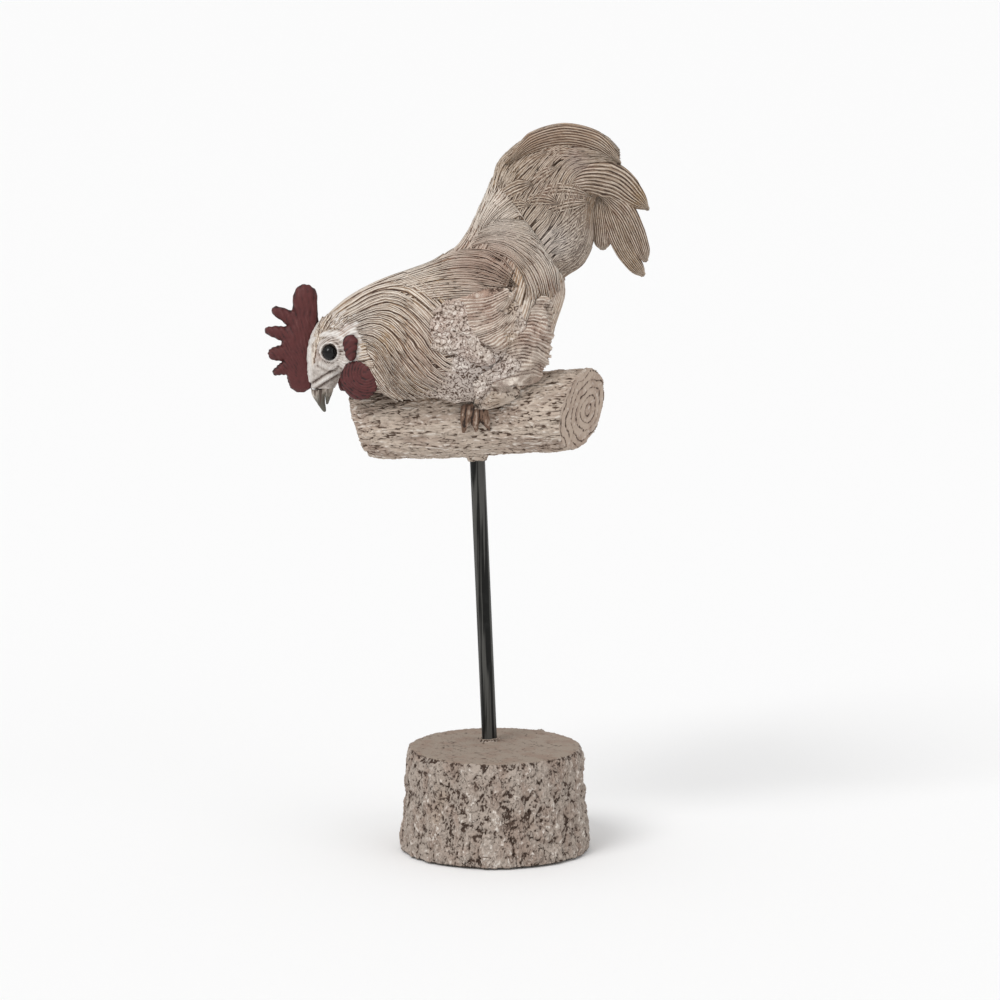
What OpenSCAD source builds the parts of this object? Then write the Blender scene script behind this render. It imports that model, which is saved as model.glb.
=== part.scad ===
// Hen figurine: a cast-resin hen crouched along a short log, carried on a black steel rod
// that stands in a bark-covered stump. Millimetres, +Z up, origin at the middle of the underside.
// The hen faces -X. Its left side faces -Y, which is the side that the figurine is seen from.

/* [Stump] */
// Width of the stump at its foot
stump_base_d = 102; // [90:1:125]
// Width of the stump at its top face
stump_top_d = 94; // [84:1:116]
// Height of the stump above its felt
stump_h = 54; // [45:1:70]
// Depth of the bark relief on the stump
stump_bark = 2.6; // [1:0.1:3.5]
// Width of a plate of the stump's bark
bark_plate_w = 13; // [10:0.5:18]
// Thickness of the felt under the stump
felt_t = 1.2; // [0.8:0.1:2]
// How far the felt stays in from the stump's bark
felt_inset = 4; // [2:0.5:8]

/* [Rod] */
// Diameter of the rod
rod_d = 8; // [6:0.5:10]
// Length of rod that shows between the stump and the log
rod_free = 153; // [120:1:190]
// Lean of the rod towards the hen's head, in degrees
rod_lean = 2.4; // [0:0.1:4]
// How far behind the stump's middle the rod stands
rod_setback = 11; // [0:0.5:14]
// How far the rod's foot stands from the stump's middle, towards the head
rod_shift = 3; // [0:0.5:6]
// Depth of the rod's socket in the stump
stump_socket = 26; // [18:1:34]
// Depth of the rod's socket in the log
log_socket = 15; // [10:1:20]
// Width of the collar of glue and resin round each end of the rod
collar_d = 13; // [11:0.5:16]
// Height of each collar
collar_h = 2; // [1:0.5:4]

/* [Log] */
// Diameter of the log over its bark, at its middle
log_d = 41.5; // [36:1:50]
// How much thicker the log is at its tail end than at its head end
log_taper = 6; // [0:0.5:8]
// Length of the log along its axis
log_length = 118; // [102:1:142]
// How far the log's middle lies from the rod, towards the head
log_shift = 2.5; // [0:0.5:8]
// Rise of the log towards the tail, in degrees
log_tilt = 5.2; // [0:0.2:7]
// Turn of the log's tail end towards the viewer, in degrees
log_yaw = 8; // [0:1:15]
// Slant of the sawn face at the tail end, in degrees
log_slant = 24; // [0:1:28]
// Lean of both end faces, top outwards, in degrees
log_lean = 14; // [0:1:20]
// Depth of the bark relief on the log
log_bark = 2.0; // [1:0.1:3]

/* [Hen] */
// Length from the foremost comb point to the hindmost tail tip
hen_length = 200; // [170:1:240]
// Height of the tail's crown above the log
hen_height = 132; // [112:1:160]
// Width across the flanks
hen_width = 64; // [54:1:76]
// Depth of the hackle flutes
flute_depth = 1.6; // [0.6:0.1:2.2]
// Thickness of a carved feather at its midrib
feather_t = 2.4; // [1.6:0.1:3.2]
// How far the wings and thighs stand proud of the body
limb_relief = 3.6; // [2:0.2:5]

/* [Head] */
// Thickness of the comb at its root
comb_t = 9; // [7:0.5:11]
// Diameter of the bead that makes each eye
eye_d = 8.4; // [7:0.2:10]
// Diameter of each wattle
wattle_d = 21.5; // [18:0.5:25]
// Thickness of each wattle
wattle_t = 8; // [6.5:0.5:9.5]
// Turn of each wattle out over the neck, in degrees
wattle_splay = 22; // [10:1:30]
// Height of each ear lobe
earlobe_h = 11.4; // [9:0.5:13]
// Width of each ear lobe
earlobe_w = 6.4; // [5:0.2:7.4]
// Thickness of each ear lobe
earlobe_t = 5; // [4:0.2:6]

/* [Feet] */
// Thickness of a toe where it leaves the foot
toe_d = 6; // [5:0.2:7.6]
// Length of a claw
claw_length = 4.5; // [3:0.5:7]

/* [Fits] */
// Gap that the glue fills between two castings
glue_gap = 0.2; // [0.1:0.05:0.3]
// Radial clearance of the rod in its sockets
rod_clearance = 0.1; // [0.05:0.01:0.15]

/* [Hidden] */

// One overrun serves every cut.
overrun = 5;
// Where the rod leaves the stump, and the unit vector along it.
rod_foot = [-rod_shift, rod_setback, felt_t + stump_h];
rod_way = [-sin(rod_lean), 0, cos(rod_lean)];
// The rod meets the underside of the log here, and the log's axis lies half its width above.
rod_head = rod_foot + rod_free * rod_way;
log_over_rod = rod_head + log_d / 2 * rod_way;
log_centre = log_over_rod - log_shift * [cos(log_tilt), 0, sin(log_tilt)];
// The hen's own origin is on the top line of the log, beside the rod.
hen_origin = log_over_rod + [hen_length * 0.015, 0, log_d / 2];

stump_colour = [0.62, 0.55, 0.48];
log_colour = [0.68, 0.6, 0.52];
rod_colour = [0.08, 0.08, 0.08];
felt_colour = [0.2, 0.2, 0.19];
feather_colour = [0.72, 0.64, 0.56];
comb_colour = [0.36, 0.16, 0.15];
eye_colour = [0.04, 0.05, 0.05];
skin_colour = [0.6, 0.46, 0.38];
horn_colour = [0.5, 0.46, 0.4];

// Rings of the hen from the root of the beak to the root of the tail. Each row holds the ring's
// point on the back and its point on the breast, as [x, z] shares of hen_length and hen_height,
// then its half width as a share of hen_width, its squareness, and how much narrower its back is.
hen_ring_shares = [
    [-0.443, -0.047, -0.382, -0.035, 0.090, 2.0, 0.00],
    [-0.452, -0.003, -0.371,  0.000, 0.120, 2.0, 0.00],
    [-0.456,  0.049, -0.364,  0.018, 0.140, 2.1, 0.02],
    [-0.455,  0.101, -0.358,  0.024, 0.155, 2.2, 0.02],
    [-0.448,  0.153, -0.350,  0.015, 0.165, 2.2, 0.00],
    [-0.436,  0.200, -0.340, -0.008, 0.180, 2.2, -0.04],
    [-0.416,  0.240, -0.328, -0.045, 0.200, 2.2, -0.08],
    [-0.386,  0.271, -0.318, -0.090, 0.230, 2.2, -0.08],
    [-0.343,  0.323, -0.304, -0.112, 0.280, 2.3, -0.02],
    [-0.278,  0.376, -0.262, -0.125, 0.360, 2.3, 0.08],
    [-0.196,  0.424, -0.190, -0.125, 0.430, 2.4, 0.16],
    [-0.121,  0.466, -0.110, -0.125, 0.480, 2.4, 0.20],
    [-0.069,  0.523, -0.025, -0.120, 0.500, 2.4, 0.24],
    [-0.040,  0.576,  0.060, -0.095, 0.495, 2.3, 0.24],
    [-0.022,  0.627,  0.124, -0.035, 0.475, 2.3, 0.22],
    [-0.008,  0.677,  0.165,  0.065, 0.445, 2.2, 0.20],
    [ 0.008,  0.727,  0.192,  0.195, 0.405, 2.1, 0.16],
    [ 0.020,  0.775,  0.218,  0.325, 0.355, 2.0, 0.12],
    [ 0.032,  0.812,  0.212,  0.415, 0.300, 2.0, 0.10]
];
hen_rings = 28;
hen_sides = 40;
// Where the flutes start and end along the rings, as shares of the whole way, and how far
// they drift down the flank on that way, in degrees.
flute_start_share = 0.36;
flute_end_share = 0.98;
flute_drift = 55;
flutes = 4;

// Rings of the tail's core, in the same form.
tail_ring_shares = [
    [0.020, 0.700, 0.180, 0.360, 0.28, 2.1, 0.10],
    [0.034, 0.808, 0.226, 0.410, 0.30, 2.1, 0.10],
    [0.046, 0.860, 0.266, 0.456, 0.30, 2.1, 0.10],
    [0.076, 0.908, 0.290, 0.538, 0.29, 2.1, 0.08],
    [0.112, 0.948, 0.294, 0.640, 0.27, 2.0, 0.06],
    [0.153, 0.986, 0.300, 0.700, 0.25, 2.0, 0.05],
    [0.205, 1.000, 0.318, 0.715, 0.22, 2.0, 0.00],
    [0.266, 0.990, 0.340, 0.725, 0.18, 2.0, 0.00],
    [0.322, 0.957, 0.358, 0.740, 0.13, 2.0, 0.00],
    [0.355, 0.905, 0.364, 0.800, 0.07, 2.0, 0.00]
];
tail_rings = 14;
tail_sides = 20;

// Coverts that lie on the tail's core, then the fluff below it: [ring, angle] of root and tip
// along tail_ring_shares, then the half width as a share of hen_length.
covert_shares = [
    [[1.0, 55], [4.0, 46], 0.044],
    [[1.0, 92], [3.8, 90], 0.046],
    [[1.2, 130], [3.6, 134], 0.044],
    [[2.9, 34], [6.2, 26], 0.040],
    [[2.7, 72], [6.2, 70], 0.048],
    [[2.6, 110], [5.4, 116], 0.044],
    [[5.2, 26], [8.4, 30], 0.034],
    [[4.8, 58], [8.4, 64], 0.044],
    [[0.8, 152], [2.6, 160], 0.034],
    [[1.8, 148], [3.6, 160], 0.034]
];

// Sickles that arch free of the core: four control points as [x, z] shares of hen_length and
// hen_height, the half width as a share of hen_length, then how far root and tip stand to the
// side, as shares of hen_width.
sickle_shares = [
    [[0.130, 0.860], [0.225, 0.960], [0.312, 0.845], [0.442, 0.664], 0.042, 0.17, 0.06],
    [[0.180, 0.760], [0.290, 0.850], [0.338, 0.738], [0.437, 0.450], 0.038, 0.19, 0.10],
    [[0.170, 0.720], [0.290, 0.790], [0.330, 0.590], [0.428, 0.392], 0.042, 0.12, 0.04],
    [[0.210, 0.720], [0.280, 0.780], [0.310, 0.660], [0.316, 0.495], 0.036, 0.16, 0.14]
];

// Feathers of the wing along hen_ring_shares, the plump shoulder first: root and tip as
// [ring, angle], a half width share of hen_height and a thickness share of limb_relief.
wing_feather_shares = [
    [[10.8, 83], [14.0, 96], 0.118, 1.4],
    [[11.7, 71], [15.2, 93], 0.060, 0.8],
    [[11.7, 79], [14.7, 102], 0.060, 0.8],
    [[11.7, 87], [13.9, 108], 0.060, 0.8],
    [[11.6, 95], [13.1, 112], 0.056, 0.8],
    [[10.9, 72], [12.2, 74], 0.040, 0.8],
    [[10.8, 82], [12.1, 84], 0.040, 0.8],
    [[10.8, 92], [12.0, 96], 0.040, 0.8]
];

// Feathers of the thigh in the same form: its rounded muscle, then the short feathers that
// cover it down to its ragged rear edge.
thigh_feather_shares = [
    [[12.2, 138], [15.9, 128], 0.109, 1.6],
    [[12.4, 126], [13.9, 122], 0.055, 0.9],
    [[12.8, 142], [14.4, 136], 0.055, 0.9],
    [[13.5, 120], [15.0, 118], 0.055, 0.9],
    [[13.8, 133], [15.5, 130], 0.055, 0.9],
    [[14.2, 145], [15.7, 140], 0.050, 0.9],
    [[14.6, 122], [16.4, 126], 0.055, 0.9],
    [[15.0, 134], [16.4, 132], 0.050, 0.9]
];

// Comb: root and tip of each limb as [x, z] shares, with a radius share of hen_length at each.
comb_limb_shares = [
    [[-0.460, 0.230], [-0.460, 0.326], 0.036, 0.032],
    [[-0.474, 0.218], [-0.536, 0.268], 0.026, 0.012],
    [[-0.480, 0.165], [-0.557, 0.190], 0.028, 0.011],
    [[-0.484, 0.105], [-0.543, 0.098], 0.028, 0.016],
    [[-0.484, 0.060], [-0.537, 0.024], 0.026, 0.011],
    [[-0.478, 0.050], [-0.474, -0.008], 0.038, 0.034],
    [[-0.460, 0.240], [-0.480, 0.150], 0.036, 0.044],
    [[-0.480, 0.150], [-0.480, 0.050], 0.044, 0.040]
];

// Hackle feathers that end the neck's cape, then the saddle feathers that hang over the rump:
// [ring, angle] of root and tip along hen_ring_shares, then a half width share of hen_length.
hackle_shares = [
    [[9.2, 30], [11.0, 58], 0.036],
    [[9.4, 50], [11.0, 74], 0.036],
    [[9.4, 67], [10.9, 89], 0.036],
    [[9.4, 82], [11.0, 103], 0.036],
    [[9.5, 95], [11.4, 116], 0.036],
    [[9.3, 105], [11.1, 124], 0.034],
    [[9.0, 111], [10.6, 128], 0.030]
];
saddle_shares = [
    [[13.9, 44], [14.5, 84], 0.030],
    [[14.8, 56], [15.0, 94], 0.030],
    [[15.5, 64], [15.5, 102], 0.030]
];

// Places on the hen as [ring, angle]: ring counts along hen_ring_shares, and angle runs from 0
// on the back over 90 on the flank to 180 on the breast.
eye_place_share = [5.0, 83];
earlobe_place_share = [7.7, 82];
// Middle of each wattle as [x, z] shares and a side share; the right one hangs lower.
wattle_share = [-0.316, 0.010, 0.262];
wattle_droop_share = [-0.014, -0.030, 0];

function mix(a, b, s) = a + (b - a) * s;
function unit(v) = v / norm(v);
function last(v) = len(v) - 1;
function row(v, i) = v[max(0, min(last(v), i))];

// A smooth curve through the rows of a table, at place t counted in rows.
function through(v, t) =
    let (i = min(floor(t), last(v) - 1), s = t - i,
         a = row(v, i - 1), b = row(v, i), c = row(v, i + 1), d = row(v, i + 2))
    b + 0.5 * s * ((c - a) + s * ((2 * a - 5 * b + 4 * c - d) + s * (3 * (b - c) + d - a)));

function bezier(p, s) =
    pow(1 - s, 3) * p[0] + 3 * s * pow(1 - s, 2) * p[1]
    + 3 * pow(s, 2) * (1 - s) * p[2] + pow(s, 3) * p[3];

function in_hen(share) = [share[0] * hen_length, 0, share[1] * hen_height];
function sideways(distance) = [0, distance, 0];
function rounded(c, squareness) = sign(c) * pow(abs(c), 2 / squareness);

// A point of a ring: angle 0 is on the back, 90 on the hen's left flank.
function ring_point(r, angle, grow) =
    let (back = in_hen([r[0], r[1]]), breast = in_hen([r[2], r[3]]),
         middle = (back + breast) / 2, half = (back - breast) / 2,
         up = unit(half),
         c = rounded(cos(angle), r[5]), s = rounded(sin(angle), r[5]))
    middle + up * (norm(half) + grow) * c
    - sideways((r[4] * hen_width + grow) * s * (1 - r[6] * c));

function on_loft(table, place, grow = 0) = ring_point(through(table, place[0]), place[1], grow);

// Hackle and saddle flutes swell and fade along the body, and sweep down the flank on the way.
function flute(share, angle) =
    let (s = (share - flute_start_share) / (flute_end_share - flute_start_share))
    (s <= 0 || s >= 1) ? 0 :
    -flute_depth * min(1, 4 * s, 4 * (1 - s))
    * (0.5 - 0.5 * cos(2 * flutes * (angle - flute_drift * s * sin(angle))));

function loft_points(table, rings, sides, grow, fluted, from, to) = [
    for (i = [0 : rings])
        let (t = mix(from, to, i / rings), r = through(table, t))
        for (j = [0 : sides - 1])
            let (angle = 360 * j / sides, side = angle > 180 ? 360 - angle : angle)
            ring_point(r, angle, grow + (fluted ? flute(t / last(table), side) : 0))
];

// Closes rings of points into a solid: a band between each two rings, and a fan at each end.
function band_faces(rings, sides) = [
    for (i = [0 : rings - 1], j = [0 : sides - 1])
        let (a = i * sides + j, b = i * sides + (j + 1) % sides)
        each [[a, a + sides, b], [b, a + sides, b + sides]]
];
function fan_faces(rings, sides) =
    let (first = (rings + 1) * sides, second = first + 1, end = rings * sides)
    concat(
        [for (j = [0 : sides - 1]) [first, j, (j + 1) % sides]],
        [for (j = [0 : sides - 1]) [second, end + (j + 1) % sides, end + j]]
    );
function sum(points, i) = i < 0 ? [0, 0, 0] : points[i] + sum(points, i - 1);
function ring_centre(points, start, count) =
    sum([for (i = [0 : count - 1]) points[start + i]], count - 1) / count;

module skin(points, rings, sides) {
    ends = [ring_centre(points, 0, sides), ring_centre(points, rings * sides, sides)];
    polyhedron(
        points = concat(points, ends),
        faces = concat(band_faces(rings, sides), fan_faces(rings, sides)),
        convexity = 6
    );
}

// Ring places from one row of a table to another, with as many rings to a row as the whole has.
module loft(table, rings, sides, grow = 0, fluted = false, from = 0, to = undef) {
    end = is_undef(to) ? last(table) : to;
    count = round(rings * (end - from) / last(table));
    skin(loft_points(table, count, sides, grow, fluted, from, end), count, sides);
}

module at_hen() translate(hen_origin) children();
module at_log() translate(log_centre) rotate([0, -log_tilt, -log_yaw]) children();
module along_rod(from) translate(from) rotate([0, -rod_lean, 0]) children();
module on_side(side) mirror([0, side > 0 ? 1 : 0, 0]) children();

module hen_form(grow = 0, fluted = false, from = 0, to = undef) {
    loft(hen_ring_shares, hen_rings, hen_sides, grow, fluted, from, to);
}
// What a piece is seated on: the hen's form with the gap that glue fills, between two rings.
module hen_seat(rings) at_hen() hen_form(glue_gap, from = rings[0], to = rings[1]);
beak_seat_rings = [0, 2];
comb_seat_rings = [0, 9];
wattle_seat_rings = [5, 10];
earlobe_seat_rings = [7, 8.5];
foot_seat_rings = [9, 15];
wing_seat_rings = [10, 16];
thigh_seat_rings = [11, 18];
tail_seat_rings = [12, 18];
// The log's own cone, drawn past both ends, for what is seated on it.
log_reach = 1.4;
module log_form(grow = 0) {
    spread = log_taper * log_reach / 2;
    at_log() rotate([0, 90, 0])
        cylinder(d1 = log_d - spread + 2 * grow, d2 = log_d + spread + 2 * grow,
                 h = log_length * log_reach, center = true, $fn = 64);
}
// How much each end of the log is rounded off: the worn head end, then the sawn tail end.
log_worn_share = 0.14;
log_sawn_share = 0.05;
// How sharply the log's ends are rounded off, and how suddenly it slants towards them.
log_end_power = 8;
log_slant_power = 6;
// How far short of its ends the log's bark starts, and how far the pattern turns on the way.
bark_start_share = 0.1;
log_turn = 300;

// Cross-section of a carved feather as shares of its half width and its thickness.
vane_shares = [[0, 0.6], [1, -0.3], [0, -0.6], [-1, -0.3]];
vane_steps = 6;
// How far ahead of a ring the feather's way is read, as a share of its length.
ahead_share = 0.03;

// A feather narrows to its quill, is broadest past the middle, and ends in a rounded tip.
function vane_width(s) = min(1, 0.55 + s) * pow(1 - pow(s, 3), 0.6) + 0.08;

function vane_ring(middle, along, out, half_width, thickness) =
    let (across = unit(cross(along, out)))
    [for (v = vane_shares) middle + across * (v[0] * half_width) + unit(out) * (v[1] * thickness)];

// A feather that lies on a loft from one [ring, angle] to another, with its tip lifted and its
// quill sunk.
module covert(table, root, tip, half_width, lift, thickness = feather_t, sink = 0) {
    points = [
        for (i = [0 : vane_steps])
            let (s = i / vane_steps, place = mix(root, tip, s),
                 here = on_loft(table, place, lift * s - sink),
                 ahead = on_loft(table, mix(root, tip, s + ahead_share), lift * s - sink),
                 out = on_loft(table, place, 1) - on_loft(table, place, 0))
            each vane_ring(here, ahead - here, out, half_width * vane_width(s), thickness)
    ];
    skin(points, vane_steps, len(vane_shares));
}

// A feather that arches free, along a curve in the side plane.
module sickle(curve, half_width, root_y, tip_y) {
    points = [
        for (i = [0 : vane_steps])
            let (s = i / vane_steps, next = s + ahead_share,
                 here = in_hen(bezier(curve, s)) - sideways(mix(root_y, tip_y, s)),
                 ahead = in_hen(bezier(curve, next)) - sideways(mix(root_y, tip_y, next)))
            each vane_ring(here, ahead - here, [0, -1, 0], half_width * vane_width(s), feather_t * 1.2)
    ];
    skin(points, vane_steps, len(vane_shares));
}

// The stump's bark is split into plates: so many round it and so many up it, each staggered
// against the row below, with a few points across each plate.
stump_plates = round(PI * stump_base_d / bark_plate_w);
stump_rows = round(stump_h / bark_plate_w);
plate_points = 4;
plate_rings = 3;
// How wide the cracks open, and how far they wander, as shares of a plate.
crack_share = 0.3;
crack_wander_share = 0.55;
// Where the top of the bark turns in to the sawn face, and by how much.
rim_start_share = 0.9;
rim_inset_share = 0.035;
// How much of its depth the bark keeps at the foot and at the rim.
stump_foot_share = 0.5;
stump_rim_share = 0.4;
stump_turn = 150;

function crack(place) = max(0, 1 - abs(place - round(place)) / crack_share);

// Depth of the cracks between plates: place a round the stump in degrees, and s up it.
function plate_cracks(a, s) =
    let (up = stump_rows * s + crack_wander_share * sin(5 * a + 30) * sin(180 * s),
         stagger = (floor(up) % 2) / 2,
         round_it = stump_plates * a / 360 + stagger + crack_wander_share * sin(7 * a) * s)
    max(crack(round_it), 0.8 * crack(up));

module stump() {
    rings = stump_rows * plate_rings;
    sides = stump_plates * plate_points;
    points = [
        for (i = [0 : rings], j = [0 : sides - 1])
            let (s = i / rings, a = 360 * j / sides,
                 turned_in = max(0, s - rim_start_share) / (1 - rim_start_share) * rim_inset_share,
                 kept = min(1, mix(stump_foot_share, 2, s), mix(2, stump_rim_share, s)),
                 deep = mix(bark(a, s * stump_turn), plate_cracks(a, s), 0.65),
                 r = mix(stump_base_d, stump_top_d, s) / 2 * (1 - turned_in) - stump_bark * deep * kept)
            [r * cos(a), r * sin(a), felt_t + s * stump_h]
    ];
    color(stump_colour) difference() {
        union() {
            skin(points, rings, sides);
            along_rod(rod_foot) translate([0, 0, -collar_h]) collar(1);
        }
        along_rod(rod_foot) translate([0, 0, -stump_socket])
            cylinder(r = rod_d / 2 + rod_clearance, h = stump_socket + overrun, $fn = 48);
    }
}

// Resin and glue drawn up round the rod, wide at the casting and narrow at the rod.
module collar(up) {
    mirror([0, 0, up > 0 ? 0 : 1])
        cylinder(d1 = collar_d, d2 = mix(rod_d, collar_d, 0.3), h = collar_h * 2, $fn = 32);
}

// Bark relief from 0 on a ridge to 1 in a crack, around angle a and along a way w in degrees.
function bark(a, w) =
    0.5 + 0.25 * sin(9 * a + 1.3 * w + 40 * sin(2 * w))
    + 0.15 * sin(17 * a - 2.1 * w) + 0.1 * sin(5 * a + 6 * w);

module felt_pad() {
    color(felt_colour) cylinder(d = stump_base_d - 2 * (stump_bark + felt_inset), h = felt_t, $fn = 96);
}

module rod() {
    color(rod_colour) along_rod(rod_foot) translate([0, 0, glue_gap - stump_socket])
        cylinder(d = rod_d, h = stump_socket + rod_free + log_socket - 2 * glue_gap, $fn = 48);
}

module log() {
    rings = 16;
    sides = 28;
    points = [
        for (i = [0 : rings], j = [0 : sides - 1])
            let (s = i / rings, a = 360 * j / sides,
                 kept = sin(180 * mix(bark_start_share, 1 - bark_start_share, s)),
                 full = (log_d + log_taper * (s - 0.5)) / 2,
                 worn = mix(log_worn_share, log_sawn_share, s),
                 r = full * (1 - worn * pow(2 * s - 1, log_end_power))
                     - log_bark * bark(a, log_turn * s) * kept,
                 y = -r * sin(a), z = r * cos(a),
                 tail_end = pow(s, log_slant_power), head_end = pow(1 - s, log_slant_power),
                 slant = y * tan(log_slant) * tail_end,
                 lean = z * tan(log_lean) * (tail_end - head_end))
            [log_length * (s - 0.5) + slant + lean, y, z]
    ];
    color(log_colour) difference() {
        union() {
            at_log() skin(points, rings, sides);
            along_rod(rod_head) translate([0, 0, collar_h]) collar(-1);
        }
        along_rod(rod_head) translate([0, 0, -overrun])
            cylinder(r = rod_d / 2 + rod_clearance, h = log_socket + overrun, $fn = 48);
    }
}

// Hackle and saddle feathers of a flank, low enough to be rooted in the flutes below them.
module hackles(side, grow = 0) {
    at_hen() on_side(side)
        for (h = concat(hackle_shares, saddle_shares))
            covert(hen_ring_shares, h[0], h[1], h[2] * hen_length + grow, feather_t * 0.25,
                   feather_t + 2 * grow, feather_t * 0.15);
}

module hen_body() {
    color(feather_colour) difference() {
        union() {
            at_hen() hen_form(fluted = true);
            for (side = [-1, 1]) hackles(side);
        }
        log_form(glue_gap);
        at_hen() for (side = [-1, 1]) on_side(side) eye_ball(glue_gap);
    }
}

module tail() {
    color(feather_colour) difference() {
        at_hen() {
            loft(tail_ring_shares, tail_rings, tail_sides);
            for (side = [-1, 1]) on_side(side) {
                for (c = covert_shares)
                    covert(tail_ring_shares, c[0], c[1], c[2] * hen_length, feather_t * 0.5);
                for (f = sickle_shares)
                    sickle([f[0], f[1], f[2], f[3]], f[4] * hen_length, f[5] * hen_width, f[6] * hen_width);
            }
        }
        hen_seat(tail_seat_rings);
    }
}

module comb() {
    color(comb_colour) difference() {
        at_hen() for (p = comb_limb_shares)
            hull() {
                comb_knob(p[0], p[2]);
                comb_knob(p[1], p[3]);
            }
        hen_seat(comb_seat_rings);
    }
}

// The comb's knobs are flat pads, full thick from one radius share on and thin near its edge.
comb_full_share = 0.036;
comb_edge_share = 0.55;
module comb_knob(place, radius_share) {
    r = radius_share * hen_length;
    thin = mix(comb_edge_share, 1, min(1, radius_share / comb_full_share));
    translate(in_hen(place)) scale([1, thin * comb_t / 2 / r, 1]) sphere(r = r, $fn = 10);
}

module eye_ball(grow = 0) {
    translate(on_loft(hen_ring_shares, eye_place_share, -eye_d * 0.22)) sphere(d = eye_d + 2 * grow, $fn = 32);
}

module eye(side) {
    color(eye_colour) at_hen() on_side(side) eye_ball();
}

// A round pad with a swollen edge that lies across Y.
module pad(d, t) {
    scale([1, t / d, 1]) sphere(d = d, $fn = 14);
}

module earlobe(side) {
    color(comb_colour) difference() {
        at_hen() on_side(side) translate(on_loft(hen_ring_shares, earlobe_place_share))
            hull() {
                translate([0, 0, earlobe_h / 2 - earlobe_w / 2]) pad(earlobe_w, earlobe_t);
                translate([0, 0, earlobe_w / 4 - earlobe_h / 2]) pad(earlobe_w / 2, earlobe_t);
            }
        hen_seat(earlobe_seat_rings);
    }
}

function wattle_place(side) =
    let (w = wattle_share + (side > 0 ? wattle_droop_share : [0, 0, 0]))
    in_hen(w) - sideways(w[2] * hen_width);

module wattle_form(side) {
    at_hen() on_side(side) translate(wattle_place(side)) rotate([0, 0, -wattle_splay]) pad(wattle_d, wattle_t);
}

module wattle(side) {
    color(comb_colour) difference() {
        wattle_form(side);
        hen_seat(wattle_seat_rings);
        log_form(glue_gap);
    }
}

module beak_upper() {
    color(horn_colour) difference() {
        at_hen() horn([[-0.424, -0.010], [-0.427, -0.060], [-0.420, -0.098], [-0.4115, -0.130]],
                      [0.026, 0.0185, 0.011, 0.004]);
        hen_seat(beak_seat_rings);
        beak_lower_form(glue_gap);
    }
}

module beak_lower() {
    color(horn_colour) difference() {
        beak_lower_form();
        hen_seat(beak_seat_rings);
    }
}

module beak_lower_form(grow = 0) {
    at_hen() horn([[-0.396, -0.010], [-0.401, -0.062], [-0.405, -0.100]], [0.015, 0.0095, 0.004], grow);
}

// A pointed horn through places in the side plane, with a radius share at each.
module horn(place_shares, radius_shares, grow = 0) {
    for (i = [0 : last(place_shares) - 1])
        hull() for (k = [i, i + 1])
            translate(in_hen(place_shares[k])) scale([1, 0.72, 1])
                sphere(r = radius_shares[k] * hen_length + grow, $fn = 12);
}

// The feathers of a wing or a thigh, each laid on the body with its tip lifted.
module limb(side, shares, grow = 0) {
    at_hen() on_side(side)
        for (f = shares)
            covert(hen_ring_shares, f[0], f[1], f[2] * hen_height + grow, limb_relief * 0.5,
                   f[3] * limb_relief + 2 * grow);
}

module wing(side) {
    color(feather_colour) difference() {
        limb(side, wing_feather_shares);
        hen_seat(wing_seat_rings);
        hackles(side, glue_gap);
    }
}

module thigh(side) {
    color(feather_colour) difference() {
        limb(side, thigh_feather_shares);
        hen_seat(thigh_seat_rings);
        limb(side, wing_feather_shares, glue_gap);
        log_form(glue_gap);
    }
}

// The turn round the log that a claw's length takes up.
claw_angle = claw_length / (PI * log_d) * 360;
// The toes press together at the root, so they lie closer than their width, and spread at the tip.
toe_pitch_share = 0.72;
toe_spread_share = 0.2;
toe_lift_share = 0.2;
// Turns round the log, from its top, to a toe's root, its knuckle, its pad and its claw.
toe_root = 46;
toe_knuckle = 70;
toe_pad = 80;
toe_claw = 90;

// Three toes come out from under the breast and reach down the log's flank, each ending in a claw,
// and a low pad joins them under the breast's edge.
module foot(side) {
    color(skin_colour) difference() {
        at_log() on_side(side) {
            middle = log_shift + toe_d / 2;
            pitch = toe_d * toe_pitch_share;
            for (t = [-1, 0, 1]) {
                way = middle + t * pitch;
                spread = t * toe_d * toe_spread_share;
                toe_bone(way, toe_root, toe_d, way, toe_knuckle, toe_d);
                toe_bone(way, toe_knuckle, toe_d, way + spread, toe_claw, toe_d * 0.85);
                toe_bone(way + spread, toe_claw, toe_d * 0.7, way + 2 * spread, toe_claw + claw_angle, toe_d * 0.3);
            }
            toe_bone(middle - pitch, toe_pad, toe_d * 0.7, middle + pitch, toe_pad, toe_d * 0.7);
        }
        log_form(glue_gap);
        hen_seat(foot_seat_rings);
        limb(side, thigh_feather_shares, glue_gap);
    }
}

module toe_bone(way_a, angle_a, d_a, way_b, angle_b, d_b) {
    hull() {
        on_bark(way_a, angle_a, d_a * toe_lift_share) sphere(d = d_a, $fn = 8);
        on_bark(way_b, angle_b, d_b * toe_lift_share) sphere(d = d_b, $fn = 8);
    }
}

module on_bark(way, angle, lift) {
    r = log_d / 2 + lift;
    translate([way, -r * sin(angle), r * cos(angle)]) children();
}

stump();
felt_pad();
rod();
log();
hen_body();
tail();
comb();
beak_upper();
beak_lower();
eye(-1);  // eye_left
eye(1);  // eye_right
earlobe(-1);  // earlobe_left
earlobe(1);  // earlobe_right
wattle(-1);  // wattle_left
wattle(1);  // wattle_right
wing(-1);  // wing_left
wing(1);  // wing_right
thigh(-1);  // thigh_left
thigh(1);  // thigh_right
foot(-1);  // foot_left
foot(1);  // foot_right
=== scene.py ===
"""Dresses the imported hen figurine: carved feathers, bark, worn whitewash, and a plain studio round it."""

import logging
import math
from dataclasses import dataclass, field, replace
from enum import Enum

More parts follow.
